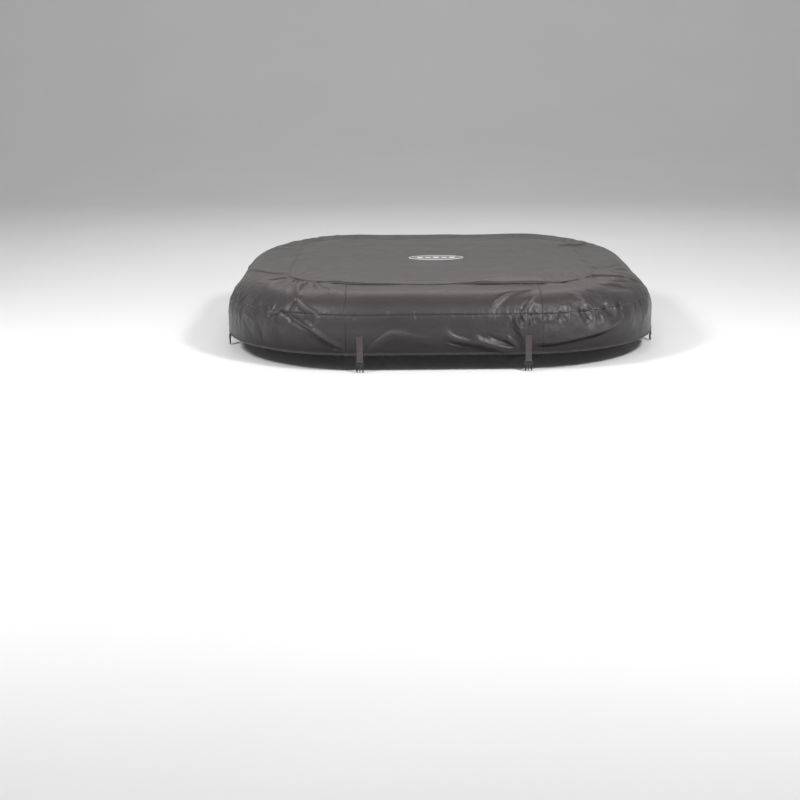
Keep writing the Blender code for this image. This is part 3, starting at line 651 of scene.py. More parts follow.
def mesh_object(name, verts, faces, looks, smooth=None, back=None):
    """A mesh from its points and faces. back is the number of each face's look."""
    mesh = bpy.data.meshes.new(name)
    faces = faces.tolist() if isinstance(faces, np.ndarray) else faces
    mesh.from_pydata(np.asarray(verts, float).tolist(), [], faces)
    for look in looks:
        mesh.materials.append(look)
    mesh.polygons.foreach_set("use_smooth", np.ones(len(faces), bool) if smooth is None else smooth)
    if back is not None:
        mesh.polygons.foreach_set("material_index", back.astype(np.int32))
    mesh.update()
    return linked(name, mesh)


def cloth_solid(name, outer, inner, looks, values=None):
    """A sheet with thickness from the matching grids of its two faces. Grids are rows × columns × 3."""
    rows, cols = outer.shape[:2]
    count = rows * cols
    verts = np.concatenate([outer.reshape(-1, 3), inner.reshape(-1, 3)])
    front = quads(rows, cols)
    rear = quads(rows, cols, count)[:, ::-1]
    index = np.arange(count).reshape(rows, cols)
    rim = np.concatenate([index[0, :-1], index[:-1, -1], index[-1, :0:-1], index[:0:-1, 0]])
    after = np.roll(rim, -1)
    edge = np.stack([after, rim, rim + count, after + count], -1)
    faces = np.concatenate([front, rear, edge])
    smooth = np.ones(len(faces), bool)
    smooth[-len(edge):] = False
    back = np.zeros(len(faces))
    back[len(front):len(front) + len(rear)] = 1 if len(looks) > 1 else 0
    made = mesh_object(name, verts, faces, looks, smooth, back)
    if values is not None:
        layer = made.data.attributes.new("crease", "FLOAT", "POINT")
        layer.data.foreach_set("value", np.concatenate([values.ravel()] * 2).astype(np.float32))
    return made


def lofted(name, rings, look, closed=False, smooth=True):
    """A body through rings of points, its ends closed by fans, or its last ring joined to its first."""
    rings = [np.asarray(ring, float) for ring in rings]
    size, last = len(rings[0]), len(rings) - 1
    verts = np.concatenate(rings)
    faces = tube_faces([(i, i + 1) for i in range(last)] + ([(last, 0)] if closed else []), size)
    if not closed:
        for row, order in ((0, -1), (last, 1)):
            middle = len(verts)
            verts = np.vstack([verts, rings[row].mean(0)])
            for k in range(size):
                pair = (row * size + k, row * size + (k + 1) % size)[::order]
                faces.append((*pair, middle))
    made = mesh_object(name, verts, faces, [look], np.full(len(faces), smooth))
    bm = bmesh.new()
    bm.from_mesh(made.data)
    bmesh.ops.recalc_face_normals(bm, faces=bm.faces)
    bm.to_mesh(made.data)
    bm.free()
    if smooth:
        shade(made.data, 50)
    return made


def rounded_prism(name, outline, axis, low, high, bevel, look, segments=2):
    """An outline swept along one axis, with all its edges rounded."""
    bm = bmesh.new()
    ends = []
    for at in (low, high):
        row = []
        for a, b in outline:
            point = [a, b]
            point.insert("XYZ".index(axis), at)
            row.append(bm.verts.new(point))
        ends.append(row)
        bm.faces.new(row)
    count = len(outline)
    for i in range(count):
        k = (i + 1) % count
        bm.faces.new((ends[0][i], ends[0][k], ends[1][k], ends[1][i]))
    bmesh.ops.recalc_face_normals(bm, faces=bm.faces)
    bmesh.ops.bevel(bm, geom=list(bm.edges), offset=bevel, segments=segments, profile=0.5, affect="EDGES",
                    clamp_overlap=True)
    mesh = bpy.data.meshes.new(name)
    bm.to_mesh(mesh)
    bm.free()
    mesh.materials.append(look)
    shade(mesh, 40)
    return linked(name, mesh)


def combine(obj, others, operation):
    """Joins other bodies to an object, or cuts them out of it."""
    for other in others:
        modifier = obj.modifiers.new(other.name, "BOOLEAN")
        modifier.operation, modifier.solver, modifier.object = operation, "EXACT", other
    bpy.context.view_layer.update()
    shown = obj.evaluated_get(bpy.context.evaluated_depsgraph_get())
    mesh = bpy.data.meshes.new_from_object(shown)
    obj.modifiers.clear()
    obj.data = mesh
    for other in others:
        bpy.data.objects.remove(other)


# ---------------------------------------------------------------- the skin


def skin_at(a, d, lift=0.0):
    """Points on the outside of the creased band or skirt, the plain form's normals, and the sharpness."""
    a, d = np.broadcast_arrays(np.asarray(a, float), np.asarray(d, float))
    p, n = form(a, d), form_normal(a, d)
    rise, sharp = side_relief(p.reshape(-1, 3), a.ravel(), d.ravel())
    return p + n * (rise.reshape(a.shape)[..., None] + lift), n, sharp.reshape(a.shape)


def side_panel(name, d_low, d_high, a_low, a_high, looks):
    """One panel of the band or skirt, between two upright seams and two level ones."""
    rows = int((d_high - d_low) / CELL) + 1
    cols = int(PANEL_RUN / CELL) + 1
    d = np.linspace(d_low, d_high, rows)[:, None] * np.ones((1, cols))
    share = np.linspace(0, 1, cols)[None, :]
    p, n, sharp = skin_at(a_low(d) * (1 - share) + a_high(d) * share, d)
    return cloth_solid(name, p, p - n * SHEET, looks, np.clip(sharp, -1, 1))


def cap_grid(count, rings):
    """A square grid of count × count wrapped on to rounded squares. rings gives (half, z, corner radius)
    for a share from 0 in the middle to 1 at the edge."""
    line = np.linspace(-1, 1, count)
    line = line * (1.25 - 0.25 * line * line)  # finer towards the edge
    u, v = np.meshgrid(line, line, indexing="xy")
    m = np.maximum(np.abs(u), np.abs(v))
    half, z, r = rings(m)
    s = half - r
    safe = np.maximum(m, 1e-9)
    steep = np.abs(u) > np.abs(v)
    q = np.where(steep, v, u) / safe
    along = np.abs(q) * (s + r * pi / 4)
    turn = np.maximum(0.0, along - s) / np.maximum(r, 1e-9)
    tangent = np.where(along <= s, along, s + r * np.sin(turn)) * np.sign(q)
    out = np.where(along <= s, half, s + r * np.cos(turn))
    x = np.where(steep, np.sign(u) * out, tangent)
    y = np.where(steep, tangent, np.sign(v) * out)
    return np.stack([x, y, z], -1), half


def ring_shape(half):
    """Corner radius of a rounded square of the middle panel, the lid or the pocket."""
    inner_r = TOP_CORNER_R - (TOP_HALF - INNER_HALF)
    return np.where(half >= INNER_HALF, TOP_CORNER_R - (TOP_HALF - half), inner_r * half / INNER_HALF)


def along_profile(points, step):
    """A function from a share of a smooth profile's length, from its middle out, to (half, z, radius)."""
    pts = smooth_path(points, step)
    run = lengths(pts)
    run /= run[-1]

    def rings(m):
        half = np.interp(m, run, pts[:, 0])
        return half, np.interp(m, run, pts[:, 1]), ring_shape(half)
    return rings


def grid_normals(p):
    """The direction square to the grid at each of its points."""
    n = np.cross(np.gradient(p, axis=1), np.gradient(p, axis=0))
    return n / np.maximum(np.linalg.norm(n, axis=-1, keepdims=True), 1e-12)


def top_panel(looks):
    """The raised middle panel of the skin."""
    edge = [*CROWN, (0.56, 0.0164), (0.60, 0.0140), (0.622, 0.0112), (0.636, 0.0076), (0.6428, 0.0042),
            (0.6448, 0.0018)]
    base, half = cap_grid(TOP_POINTS, along_profile(edge, 0.003))
    n = grid_normals(base)
    rise, sharp = top_relief(base.reshape(-1, 3), half.ravel())
    p = base + n * rise.reshape(half.shape)[..., None]
    return cloth_solid("top_panel_skin", p, p - n * SHEET, looks, np.clip(sharp, -1, 1).reshape(half.shape))


def stitches(name, paths, look, radius=0.00028, pitch=0.0042, length=0.0032):
    """Thread seen as a row of rounded stitches along each path of (points, normals)."""
    size = 6
    ring = np.array(oval(0, 0, 1, 1, size))
    sections = ((-0.5, 0.45, -0.6), (-0.32, 1.0, 0.3), (0.32, 1.0, 0.3), (0.5, 0.45, -0.6))
    last = (len(sections) - 1) * size
    one = tube_faces([(row, row + 1) for row in range(len(sections) - 1)], size)
    one += [tuple(range(size - 1, -1, -1)), tuple(range(last, last + size))]
    verts, faces = [], []
    for points, normals in paths:
        run = lengths(points)
        count = int(run[-1] / pitch)
        at = (np.arange(count) + 0.5) * run[-1] / count

        def read(values, shift=0.0):
            return np.stack([np.interp(at + shift, run, values[:, k]) for k in range(3)], -1)
        mid, up = read(points), read(normals)
        t = read(points, 0.001) - read(points, -0.001)
        t /= np.linalg.norm(t, axis=1, keepdims=True)
        side = np.cross(t, up)
        side /= np.linalg.norm(side, axis=1, keepdims=True)
        up = np.cross(side, t)
        for i in range(count):
            base = len(verts) * size
            for share, wide, rise in sections:
                centre = mid[i] + t[i] * share * length + up[i] * rise * radius
                verts.append(centre + (side[i] * ring[:, :1] + up[i] * ring[:, 1:]) * radius * wide)
            faces += [tuple(base + k for k in face) for face in one]
    return mesh_object(name, np.concatenate(verts), faces, [look])


def hem_binding(look):
    """A tape folded over the hem, which follows the skirt's edge all the way round."""
    count = 1180
    a = np.linspace(0, 4 * QUARTER, count, endpoint=False)
    p, n, _ = skin_at(a, HEM_D)
    down = p - skin_at(a, HEM_D - 0.008)[0]
    down /= np.linalg.norm(down, axis=-1, keepdims=True)
    # outward and downward from the skirt's edge, in millimetres
    section = [(0.15, -7.6), (0.65, -8.1), (1.15, -7.6), (1.22, -4.0), (1.15, -0.4), (0.75, 0.9),
               (-0.20, 1.35), (-1.1, 1.35), (-2.0, 0.9), (-2.45, -0.4), (-2.5, -4.0), (-2.45, -7.6),
               (-2.0, -8.1), (-1.45, -7.6), (-1.45, 0.1), (0.15, 0.1)]
    ripple = 1 + 0.10 * noise(flat(a), 0.02, 51) + 0.06 * noise(flat(a), 0.007, 52)
    rings = [p + n * (o * ripple[:, None] / 1000) + down * (e / 1000) for o, e in section]
    size = len(section)
    faces = tube_faces([(i, (i + 1) % count) for i in range(count)], size)
    made = mesh_object("hem_tape", np.stack(rings, 1).reshape(-1, 3), faces, [look])
    weave_map(made, np.stack([np.repeat(a, size), np.tile([e / 1000 for _, e in section], count)], -1))
    return made


# ---------------------------------------------------------------- straps and plugs


def ribbon(name, path, normals, width, thick, across, look):
    """Webbing along a path in 3-D: path and normals are N × 3, across is the unit vector of its width."""
    cols = 13
    x = np.linspace(-1, 1, cols)
    edge = np.clip((1 - np.abs(x)) / 0.10, 0, 1)
    body = thick / 2 * (0.45 + 0.55 * np.sqrt(1 - (1 - edge) ** 2))
    run = lengths(path)
    rib = 1 + 0.05 * np.sin(run * 2 * pi / 0.0016)
    wide = x[None, :, None] * (width / 2) * across
    lift = (body[None, :] * rib[:, None])[..., None] * normals[:, None, :]
    middle = path[:, None, :] + wide
    made = cloth_solid(name, middle + lift, middle - lift, [look])
    one = np.stack([np.tile(x * width / 2, len(path)), np.repeat(run, cols)], -1)
    weave_map(made, np.concatenate([one, one]))
    return made


def strap_path():
    """(out, z) of a strap's middle line: sewn to the skirt, over the hem, down and round the plug's bar."""
    free, leave = STRAP_AXIS_HALF, -0.2195
    bar_z, r = STRAP_AXIS_Z - BAR_DROP, 0.0031
    points = [(TAB_OUT, z) for z in np.arange(-0.158, leave, -0.002)]
    points += [(TAB_OUT + (free - TAB_OUT) * ease((leave - z) / 0.0075), z)
               for z in np.arange(-0.2205, -0.2275, -0.001)]
    points += [(free, z) for z in np.arange(-0.2285, bar_z + 0.0062, -0.0015)]
    points += [(free + 0.0010, bar_z + 0.0048), (free + 0.0022, bar_z + 0.0032)]
    for i in range(15):
        turn = radians(32) - radians(262) * i / 14
        points.append((free + r * cos(turn), bar_z + r * sin(turn)))
    points += [(free - 0.00165, bar_z + 0.0045), (free - 0.00162, bar_z + 0.0065)]
    points += [(free - 0.00160, z) for z in np.arange(bar_z + 0.008, bar_z + 0.0160, 0.0015)]
    return np.array(points)


def tack(name, outward, across, x, thread):
    """A boxed cross and a bar, sewn through the webbing and the skirt."""
    w, high, low = 0.0092, -0.1615, -0.1800
    strokes = [[(-w, high), (w, high)], [(w, high), (w, low)], [(w, low), (-w, low)],
               [(-w, low), (-w, high)], [(-w, high), (w, low)], [(w, high), (-w, low)],
               [(-w, -0.2150), (w, -0.2150)]]
    paths = []
    for (x0, z0), (x1, z1) in strokes:
        share = np.linspace(0, 1, 12)[:, None]
        px, pz = x0 + (x1 - x0) * share, z0 + (z1 - z0) * share
        pts = outward * (TAB_OUT + 0.00078) + (x + px) * across + pz * UP
        paths.append((pts, np.tile(outward, (12, 1))))
    return stitches("tack_" + name, paths, thread, pitch=0.0027, length=0.0021)


def strap_places():
    """Each strap's name, its quarter turn round the cover, and its place along its side."""
    for k, side in enumerate(SIDES):
        for end, x in zip(STRAP_ENDS[side], (-STRAP_X, STRAP_X)):
            yield f"{side}_{end}", k, x


def straps(look, thread):
    """The webbing of each strap, which folds where its hanging end leaves the hem."""
    line = strap_path()
    t = np.gradient(line, axis=0)
    t /= np.linalg.norm(t, axis=1, keepdims=True)
    for name, k, x in strap_places():
        c, s = cos(k * pi / 2), sin(k * pi / 2)
        outward, across = np.array([s, -c, 0.0]), np.array([c, s, 0.0])
        path = line[:, :1] * outward + x * across + line[:, 1:] * UP
        normals = -t[:, 1:] * outward + t[:, :1] * UP
        made = ribbon("webbing_" + name, path, normals, WEB_WIDTH, WEB_THICK, across, look)
        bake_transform(made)
        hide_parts("strap_tab_" + name, "strap_" + name)
        sewn = tack(name, outward, across, x, thread)
        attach(sewn, "cover")


def plug_mesh(look):
    """One buckle plug, hanging down from its bar at the origin."""
    half = 0.01675
    root, tip = -0.0142, -0.0402  # where the prongs leave the shoulder, and where they end
    shoulder = rounded_prism("plug_shoulder", box_outline(half, 0.0031), "Z", -0.0152, -0.0062, 0.0011, look)
    adds = []
    for side in (-1, 1):
        low, high = sorted((side * 0.01335, side * half))
        rail = [(low, -0.0027), (high, -0.0027), (high, 0.0027), (low, 0.0027)]
        adds.append(rounded_prism("plug_rail", rail, "Z", -0.0086, 0.0026, 0.0009, look))
        arm = [(0.0070, root), (0.0070, -0.0240), (0.0076, -0.0300), (0.0088, -0.0360), (0.0102, tip),
               (0.0118, -0.0406), (0.0134, -0.0398), (0.0146, -0.0366), (0.0150, -0.0330), (0.0148, -0.0284),
               (0.0126, -0.0264), (0.0110, -0.0250), (0.0110, root)]
        arm = [(side * x, z) for x, z in arm]
        adds.append(rounded_prism("plug_arm", arm, "Y", -0.0018, 0.0018, 0.0005, look))
    bar = oval(0, 0, 0.0020, 0.0020, 20)
    adds.append(rounded_prism("plug_bar", bar, "X", -0.0155, 0.0155, 0.0002, look, 1))
    guide = [(-0.0020, root), (-0.0018, -0.0385), (-0.0008, tip), (0.0008, tip), (0.0018, -0.0385),
             (0.0020, root)]
    adds.append(rounded_prism("plug_guide", guide, "Y", -0.0016, 0.0016, 0.0005, look))
    combine(shoulder, adds, "UNION")
    hollow = oval(0, -0.0107, 0.0085, 0.0026, 28)
    cuts = []
    for y in (-0.0034, 0.0034):
        low, high = sorted((y, y * 0.76))
        cuts.append(rounded_prism("plug_hollow", hollow, "Y", low, high, 0.00015, look, 1))
    combine(shoulder, cuts, "DIFFERENCE")
    mesh = shoulder.data
    shade(mesh, 38)
    bpy.data.objects.remove(shoulder)
    return mesh


def plugs(look):
    """A buckle plug on the end of each strap."""
    mesh = plug_mesh(look)
    for name, k, x in strap_places():
        made = linked("buckle_plug_" + name, mesh.copy())
        place = Matrix.Translation((x, -STRAP_AXIS_HALF, STRAP_AXIS_Z - BAR_DROP))
        made.data.transform(Matrix.Rotation(k * pi / 2, 4, "Z") @ place)
        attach(made, "plug_" + name)
        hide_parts("plug_" + name)


# ---------------------------------------------------------------- patch, lid, pocket and zip


def on_crown(points, lift):
    """Points laid on the middle panel's plain crown, and lifted off it."""
    half, height = zip(*CROWN)
    return [(x, y, float(np.interp(max(abs(x), abs(y)), half, height)) + lift) for x, y in points]


def patch(field, light):
    """A plain oval patch welded to the middle panel: a raised rim round a field with five bars."""
    def ring(scale, inset, lift):
        long, wide = PATCH_LENGTH / 2 - inset, PATCH_WIDTH / 2 - inset
        return on_crown(oval(PATCH_X, PATCH_Y, long * scale, wide * scale, 96), lift)

    low, high = 0.0002, 0.0009
    rings = [ring(share, 0.004, high) for share in (0.05, 0.3, 0.55, 0.8, 1.0)]
    rings += [ring(share, 0.0036, low) for share in (1.0, 0.8, 0.5, 0.05)]
    base = lofted("patch_field", rings, field)
    section = [(0.0, low), (0.0003, 0.0010), (0.0012, 0.0014), (0.0040, 0.0014), (0.0048, 0.0010),
               (0.0050, low)]
    rim = lofted("patch_rim", [ring(1.0, inset, lift) for inset, lift in section], light, closed=True)
    made = [base, rim]
    for i in range(5):
        middle = PATCH_X + (i - 2) * BAR_PITCH
        long, short = 0.013, 0.0065 if i % 2 else 0.0110
        bars = []
        for grow, lift in ((0.7, low), (1.0, low + 0.0002), (1.0, 0.0013), (0.8, 0.0015)):
            points = []
            for c, s in oval(0, 0, 1, 1, 20):
                x = middle + grow * long * np.sign(c) * abs(c) ** 0.45
                y = PATCH_Y + grow * short * 1.6 * np.sign(s) * abs(s) ** 0.45
                points.append((x, y))
            bars.append(on_crown(points, lift))
        made.append(lofted(f"patch_bar_{i}", bars, light))
    for piece in made:
        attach(piece, "cover")
    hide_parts("top_patch")
    return made


def square_ring(half, z, count=90):
    """A closed rounded-square ring with count points on each side."""
    r = float(ring_shape(np.array(half)))
    s = half - r
    length = 2 * s + r * pi / 2
    side = []
    for i in range(count):
        along = -length / 2 + length * i / count
        turn = max(0.0, abs(along) - s) / max(r, 1e-9)
        sign = -1 if along < 0 else 1
        if abs(along) <= s:
            side.append((along, -half))
        else:
            side.append((sign * (s + r * sin(turn)), -s - r * cos(turn)))
    points = []
    for k in range(4):
        c, n = cos(k * pi / 2), sin(k * pi / 2)
        points += [(x * c - y * n, x * n + y * c, z) for x, y in side]
    return points


def lid(look):
    """The inflated lid in the pocket, held to an even depth by rows of inner ties."""
    top = [(0.02, 0.012), (0.2, 0.0118), (0.4, 0.0100), (0.52, 0.0075), (0.575, 0.003), (0.600, -0.006),
           (0.6130, -0.020), (0.6165, -0.040), (0.6172, -0.046)]
    weld = [(0.6178, -0.0465), (0.6178, -0.0475), (0.6172, -0.048)]
    low = [(0.6165, -0.056), (0.6130, -0.074), (0.6020, -0.088), (0.585, -0.0955), (0.55, LID_LOW),
           (0.45, LID_LOW), (0.2, LID_LOW), (0.02, LID_LOW)]
    rings = []
    for half, z in np.vstack([smooth_path(top, 0.012), weld, smooth_path(low, 0.012)]):
        ring = np.array(square_ring(max(half, 0.012), z))
        if half < TIED_HALF:
            x, y = ring[:, 0], ring[:, 1]
            tie = np.cos(x * 2 * pi / TIE_PITCH) * np.cos(y * 2 * pi / TIE_PITCH)
            clear = ease((np.hypot(x - VALVE_X, y - VALVE_Y) - 0.035) / 0.05)
            fade = ease((TIED_HALF - half) / 0.06)
            if z < -0.05:
                ring[:, 2] += TIE_DEPTH * (1 - tie) / 2 * clear * fade
            else:
                ring[:, 2] -= TIE_DEPTH * (1 - tie) / 2 * fade
        rings.append(ring)
    made = lofted("inflated_lid", rings, look)
    # the valve's bore, which widens above the lid's bottom wall so that the flap can lift
    bore = valve_rings(((0.0112, -0.11), (0.0112, -0.0905), (0.022, -0.0895), (0.022, -0.060)), 40)
    combine(made, [lofted("bore", bore, look, smooth=False)], "DIFFERENCE")
    shade(made.data, 50)
    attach(made, "cover")
    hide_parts("air_lid")
    return made


def pocket(look, edge_look):
    """The pocket that holds the lid, hung from the middle panel's seam, with its zip and access hole."""
    path = [(0.0, POCKET_LOW), (0.30, POCKET_LOW), (0.54, -0.1038), (0.585, -0.1025), (0.607, -0.0985),
            (0.6185, -0.0890), (0.6228, -0.0740), (0.6240, -0.0300), (0.6300, -0.0120), (0.6425, -0.0008)]
    base, half = cap_grid(POCKET_POINTS, along_profile(path, 0.006))
    n = -grid_normals(base)
    x, y = base[..., 0], base[..., 1]
    spots = base.reshape(-1, 3)
    rise = 0.0035 * noise(spots, 0.28, 71) + 0.0018 * noise(spots, 0.10, 72)
    rise += 0.0006 * noise(spots, 0.04, 73)
    sharp = 1 - 2 * np.abs(noise(spots, 0.16, 74))
    rise = (np.maximum(rise, -0.002) + 0.0016 * np.maximum(sharp, 0) ** 4 + 0.001).reshape(half.shape)
    near_zip = np.maximum(np.abs(x) - ZIP_HALF - 0.02, np.abs(y - ZIP_Y) - 0.016)
    near_hole = np.hypot(x - VALVE_X, y - VALVE_Y) - 0.036
    free_cloth = ease(near_zip / 0.03) * ease(near_hole / 0.03) * ease((0.62 - half) / 0.05)
    wall = ease((-0.006 - base[..., 2]) / 0.02) * ease((half - 0.612) / 0.006)
    rise = rise * free_cloth + 0.0012 * wall * noise(spots, 0.07, 75).reshape(half.shape)
    rise[0, :] = rise[-1, :] = 0
    rise[:, 0] = rise[:, -1] = 0
    p = base + n * rise[..., None]
    made = cloth_solid("lid_pocket", p, p - n * LINER, [look])
    ends = (POCKET_LOW - 0.003, POCKET_LOW + 0.003)  # the cutters run right through the bottom
    hole = valve_rings([(ACCESS_R, z) for z in ends], 64)
    slot = [[(x, ZIP_Y + y, z) for x, y in box_outline(ZIP_HALF, 0.003)] for z in ends]
    combine(made, [lofted("hole", hole, look, smooth=False), lofted("slot", slot, look, smooth=False)],
            "DIFFERENCE")
    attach(made, "cover")
    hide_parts("pocket_liner")
    binding_section = ((0.0308, -0.1030), (0.0304, -0.1037), (0.0308, -0.1045), (0.0340, -0.1046),
                       (0.0352, -0.1044), (0.0350, -0.10405), (0.0314, -0.1040), (0.0314, -0.1031),
                       (0.0350, -0.1031), (0.0350, -0.1027), (0.0310, -0.1025))
    ring = lofted("access_binding", valve_rings(binding_section, 72), edge_look, closed=True)
    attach(ring, "cover")
    return made


def zip_pieces(tape_look, tooth_look, thread_look):
    """The zip's tape, with coil teeth on its underside and a row of stitches along each edge."""
    end, thick, rows = ZIP_HALF + 0.02, 0.0006, 240
    x = np.linspace(-end, end, rows)
    section = np.array([(-0.0150, -0.0003), (-0.0148, 0.0), (-0.0050, 0.0), (0.0, -0.00005), (0.0050, 0.0),
                        (0.0148, 0.0), (0.0150, -0.0003)])
    across, depth = np.broadcast_arrays(x[:, None], ZIP_Y + section[:, 0])
    outer = np.stack([across, depth, np.broadcast_to(ZIP_TOP - thick - section[:, 1], across.shape)], -1)
    inner = outer.copy()
    inner[..., 2] = ZIP_TOP
    tape_piece = cloth_solid("zip_tape", outer, inner, [tape_look])
    weave_map(tape_piece, np.array([v.co for v in tape_piece.data.vertices])[:, :2])
    pitch, z = 0.0022, ZIP_TOP - 0.0017
    paths = []
    for i in range(int(2 * ZIP_HALF / pitch)):
        at = -ZIP_HALF + (i + 0.5) * pitch
        for side in (-1, 1):
            place = at + 0.00055 * side
            line = np.array([[place, ZIP_Y + side * 0.0028, z], [place, ZIP_Y - side * 0.0008, z]])
            paths.append((line, np.tile(-UP, (2, 1))))
    teeth = stitches("zip_teeth", paths, tooth_look, radius=0.00062, pitch=0.0036, length=0.0040)
    seams = []
    for y in (-0.0115, 0.0115):
        line = np.stack([np.linspace(-end + .004, end - .004, 60), np.full(60, ZIP_Y + y),
                         np.full(60, ZIP_TOP - thick)], -1)
        seams.append((line, np.tile(-UP, (60, 1))))
    sewn = stitches("stitch_zip", seams, thread_look)
    for piece in (tape_piece, teeth, sewn):
        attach(piece, "cover")
    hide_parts("zip_chain")


# ---------------------------------------------------------------- materials


class Nodes:
    """A short way to write a material's nodes."""

    def __init__(self, name):
        self.material = bpy.data.materials.new(name)
        self.material.use_nodes = True
        self.tree = self.material.node_tree
        self.shader = self.tree.nodes["Principled BSDF"]

    def put(self, kind, inputs=None, **settings):
        node = self.tree.nodes.new("ShaderNode" + kind)
        for key, value in settings.items():
            setattr(node, key, value)
        for key, value in (inputs or {}).items():
            self.join(value, node.inputs[key])
        return node

    def join(self, value, socket):
        if isinstance(value, bpy.types.NodeSocket):
            self.tree.links.new(value, socket)
        elif isinstance(value, bpy.types.Node):
            self.tree.links.new(value.outputs[0], socket)
        else:
            socket.default_value = value

    def math(self, operation, a, b=0.5, c=None):
        inputs = {0: a, 1: b}
        if c is not None:
            inputs[2] = c
        return self.put("Math", inputs, operation=operation).outputs[0]

    def times(self, a, b):
        return self.math("MULTIPLY", a, b)

    def coords(self, scale=(1, 1, 1), uv=None):
        if uv:
            source = self.put("UVMap", uv_map=uv).outputs[0]
        else:
            source = self.put("TexCoord").outputs["Object"]
        return self.put("Mapping", {"Vector": source, "Scale": scale}).outputs[0]

    def noise(self, scale, detail=2.0, rough=0.5, vector=None, distortion=0.0):
        vector = vector or self.coords()
        return self.put("TexNoise", {"Vector": vector, "Scale": scale, "Detail": detail, "Roughness": rough,
                                     "Distortion": distortion}).outputs["Fac"]

    def ramp(self, value, *stops):
        node = self.put("ValToRGB", {"Fac": value})
        spots = node.color_ramp.elements
        while len(spots) < len(stops):
            spots.new(0.5)
        for spot, (at, colour) in zip(spots, stops):
            spot.position = at
            spot.color = (*colour, 1.0)
        return node.outputs["Color"]

    def mix(self, share, a, b):
        node = self.put("Mix", data_type="RGBA")
        for socket, value in ((node.inputs[0], share), (node.inputs[6], a), (node.inputs[7], b)):
            if isinstance(value, tuple) and len(value) == 3:
                value = (*value, 1.0)
            self.join(value, socket)
        return node.outputs[2]

    def bump(self, height, distance, below=None):
        inputs = {"Height": height, "Distance": distance, "Strength": 1.0}
        if below is not None:
            inputs["Normal"] = below
        return self.put("Bump", inputs).outputs["Normal"]

    def done(self, **inputs):
        for key, value in inputs.items():
            socket = self.shader.inputs[key.replace("_", " ")]
            if isinstance(value, tuple) and len(value) == 3 and socket.type == "RGBA":
                value = (*value, 1.0)
            self.join(value, socket)
        return self.material


def skin_look():
    """Coated fabric: a fine pebbled grain, soft crinkles, a satin coat rubbed lighter and painted with
    highlight on its ridges, and painted shade in its creases.
    """
    m = Nodes("coated_fabric")
    cloud = m.noise(2.6, 3.0, 0.55)
    patchy = m.noise(19.0, 4.0, 0.6)
    grain = m.put("TexVoronoi", {"Vector": m.coords(), "Scale": 820.0, "Randomness": 0.9},
                  feature="SMOOTH_F1").outputs["Distance"]
    crinkle = m.noise(95.0, 4.0, 0.62, distortion=0.6)
    tone = m.ramp(cloud, (0.30, (0.0362, 0.0327, 0.0345)), (0.72, (0.0452, 0.0411, 0.0431)))
    tone = m.mix(m.times(patchy, 0.22), tone, (0.055, 0.051, 0.0508))
    crease = m.put("Attribute", attribute_name="crease").outputs["Fac"]
    # ridges painted lighter: rubbed wear of the coat, and a painted highlight
    wear_and_painted_highlight = m.times(m.math("MAXIMUM", crease, 0.0), m.times(patchy, 0.8))
    tone = m.mix(wear_and_painted_highlight, tone, (0.112, 0.106, 0.103))
    # crease valleys painted darker: painted shade where the folds close in
    painted_crease_shade = m.times(m.math("MAXIMUM", m.times(crease, -1.0), 0.0), 0.5)
    tone = m.mix(painted_crease_shade, tone, (0.026, 0.023, 0.023))
    # browner and lighter on the middle panel and the crest of the rim, the lighter tone a painted light of
    # the top, and darker towards the hem as painted shade
    height = m.put("SeparateXYZ", {0: m.coords()}).outputs[2]
    # painted light: the middle panel and the crest made lighter, and browner
    top = m.put("MapRange", {"Value": height, "From Min": -0.05, "From Max": 0.0}).outputs[0]
    tone = m.mix(m.times(top, 0.6), tone, (0.0535, 0.0415, 0.0385))
    # painted shade: darker, and slightly purple, towards the hem
    low = m.put("MapRange", {"Value": height, "From Min": -0.135, "From Max": -0.220}).outputs[0]
    tone = m.mix(m.times(low, 0.92), tone, (0.0102, 0.0080, 0.0104))
    rough = m.math("ADD", m.times(patchy, 0.16), 0.29)
    normal = m.bump(grain, 0.00022, m.bump(crinkle, 0.0011))
    return m.done(Base_Color=tone, Roughness=rough, Normal=normal, Specular_IOR_Level=0.29,
                  Coat_Weight=0.06, Coat_Roughness=0.30, Sheen_Weight=0.05, Sheen_Roughness=0.5)


def weave(m, pitch):
    """Height of a plain weave, in the UV map that weave_map makes."""
    vector = m.coords((1 / pitch, 1 / pitch, 1), "weave")
    split = m.put("SeparateXYZ", {0: vector})
    u = m.math("SINE", m.times(split.outputs[0], pi), 0.0)
    v = m.math("SINE", m.times(split.outputs[1], pi), 0.0)
    return m.times(u, v)


def backing_look():
    """The knitted back of the coated fabric."""
    m = Nodes("fabric_back")
    knit = {"Vector": m.coords(), "Scale": 620.0, "Randomness": 0.35}
    cell = m.put("TexVoronoi", knit).outputs["Distance"]
    cloud = m.noise(7.0, 3.0, 0.6)
    tone = m.ramp(cloud, (0.3, (0.115, 0.112, 0.110)), (0.75, (0.165, 0.162, 0.160)))
    tone = m.mix(m.times(cell, 0.5), tone, (0.06, 0.058, 0.058))
    return m.done(Base_Color=tone, Roughness=0.88, Normal=m.bump(cell, 0.0004), Sheen_Weight=0.25,
                  Sheen_Roughness=0.5)


def woven_look(name, dark, light, pitch):
    """Woven tape or webbing, with pitch between its yarns."""
    m = Nodes(name)
    height = weave(m, pitch)
    fuzz = m.noise(900.0, 3.0, 0.6)
    cloud = m.noise(35.0, 3.0, 0.6)
    share = m.math("MULTIPLY_ADD", height, 0.35, 0.5)
    tone = m.mix(m.times(share, m.math("ADD", cloud, 0.45)), dark, light)
    normal = m.bump(fuzz, 0.0001, m.bump(height, pitch * 0.35))
    return m.done(Base_Color=tone, Roughness=0.8, Normal=normal, Sheen_Weight=0.2, Sheen_Roughness=0.4)


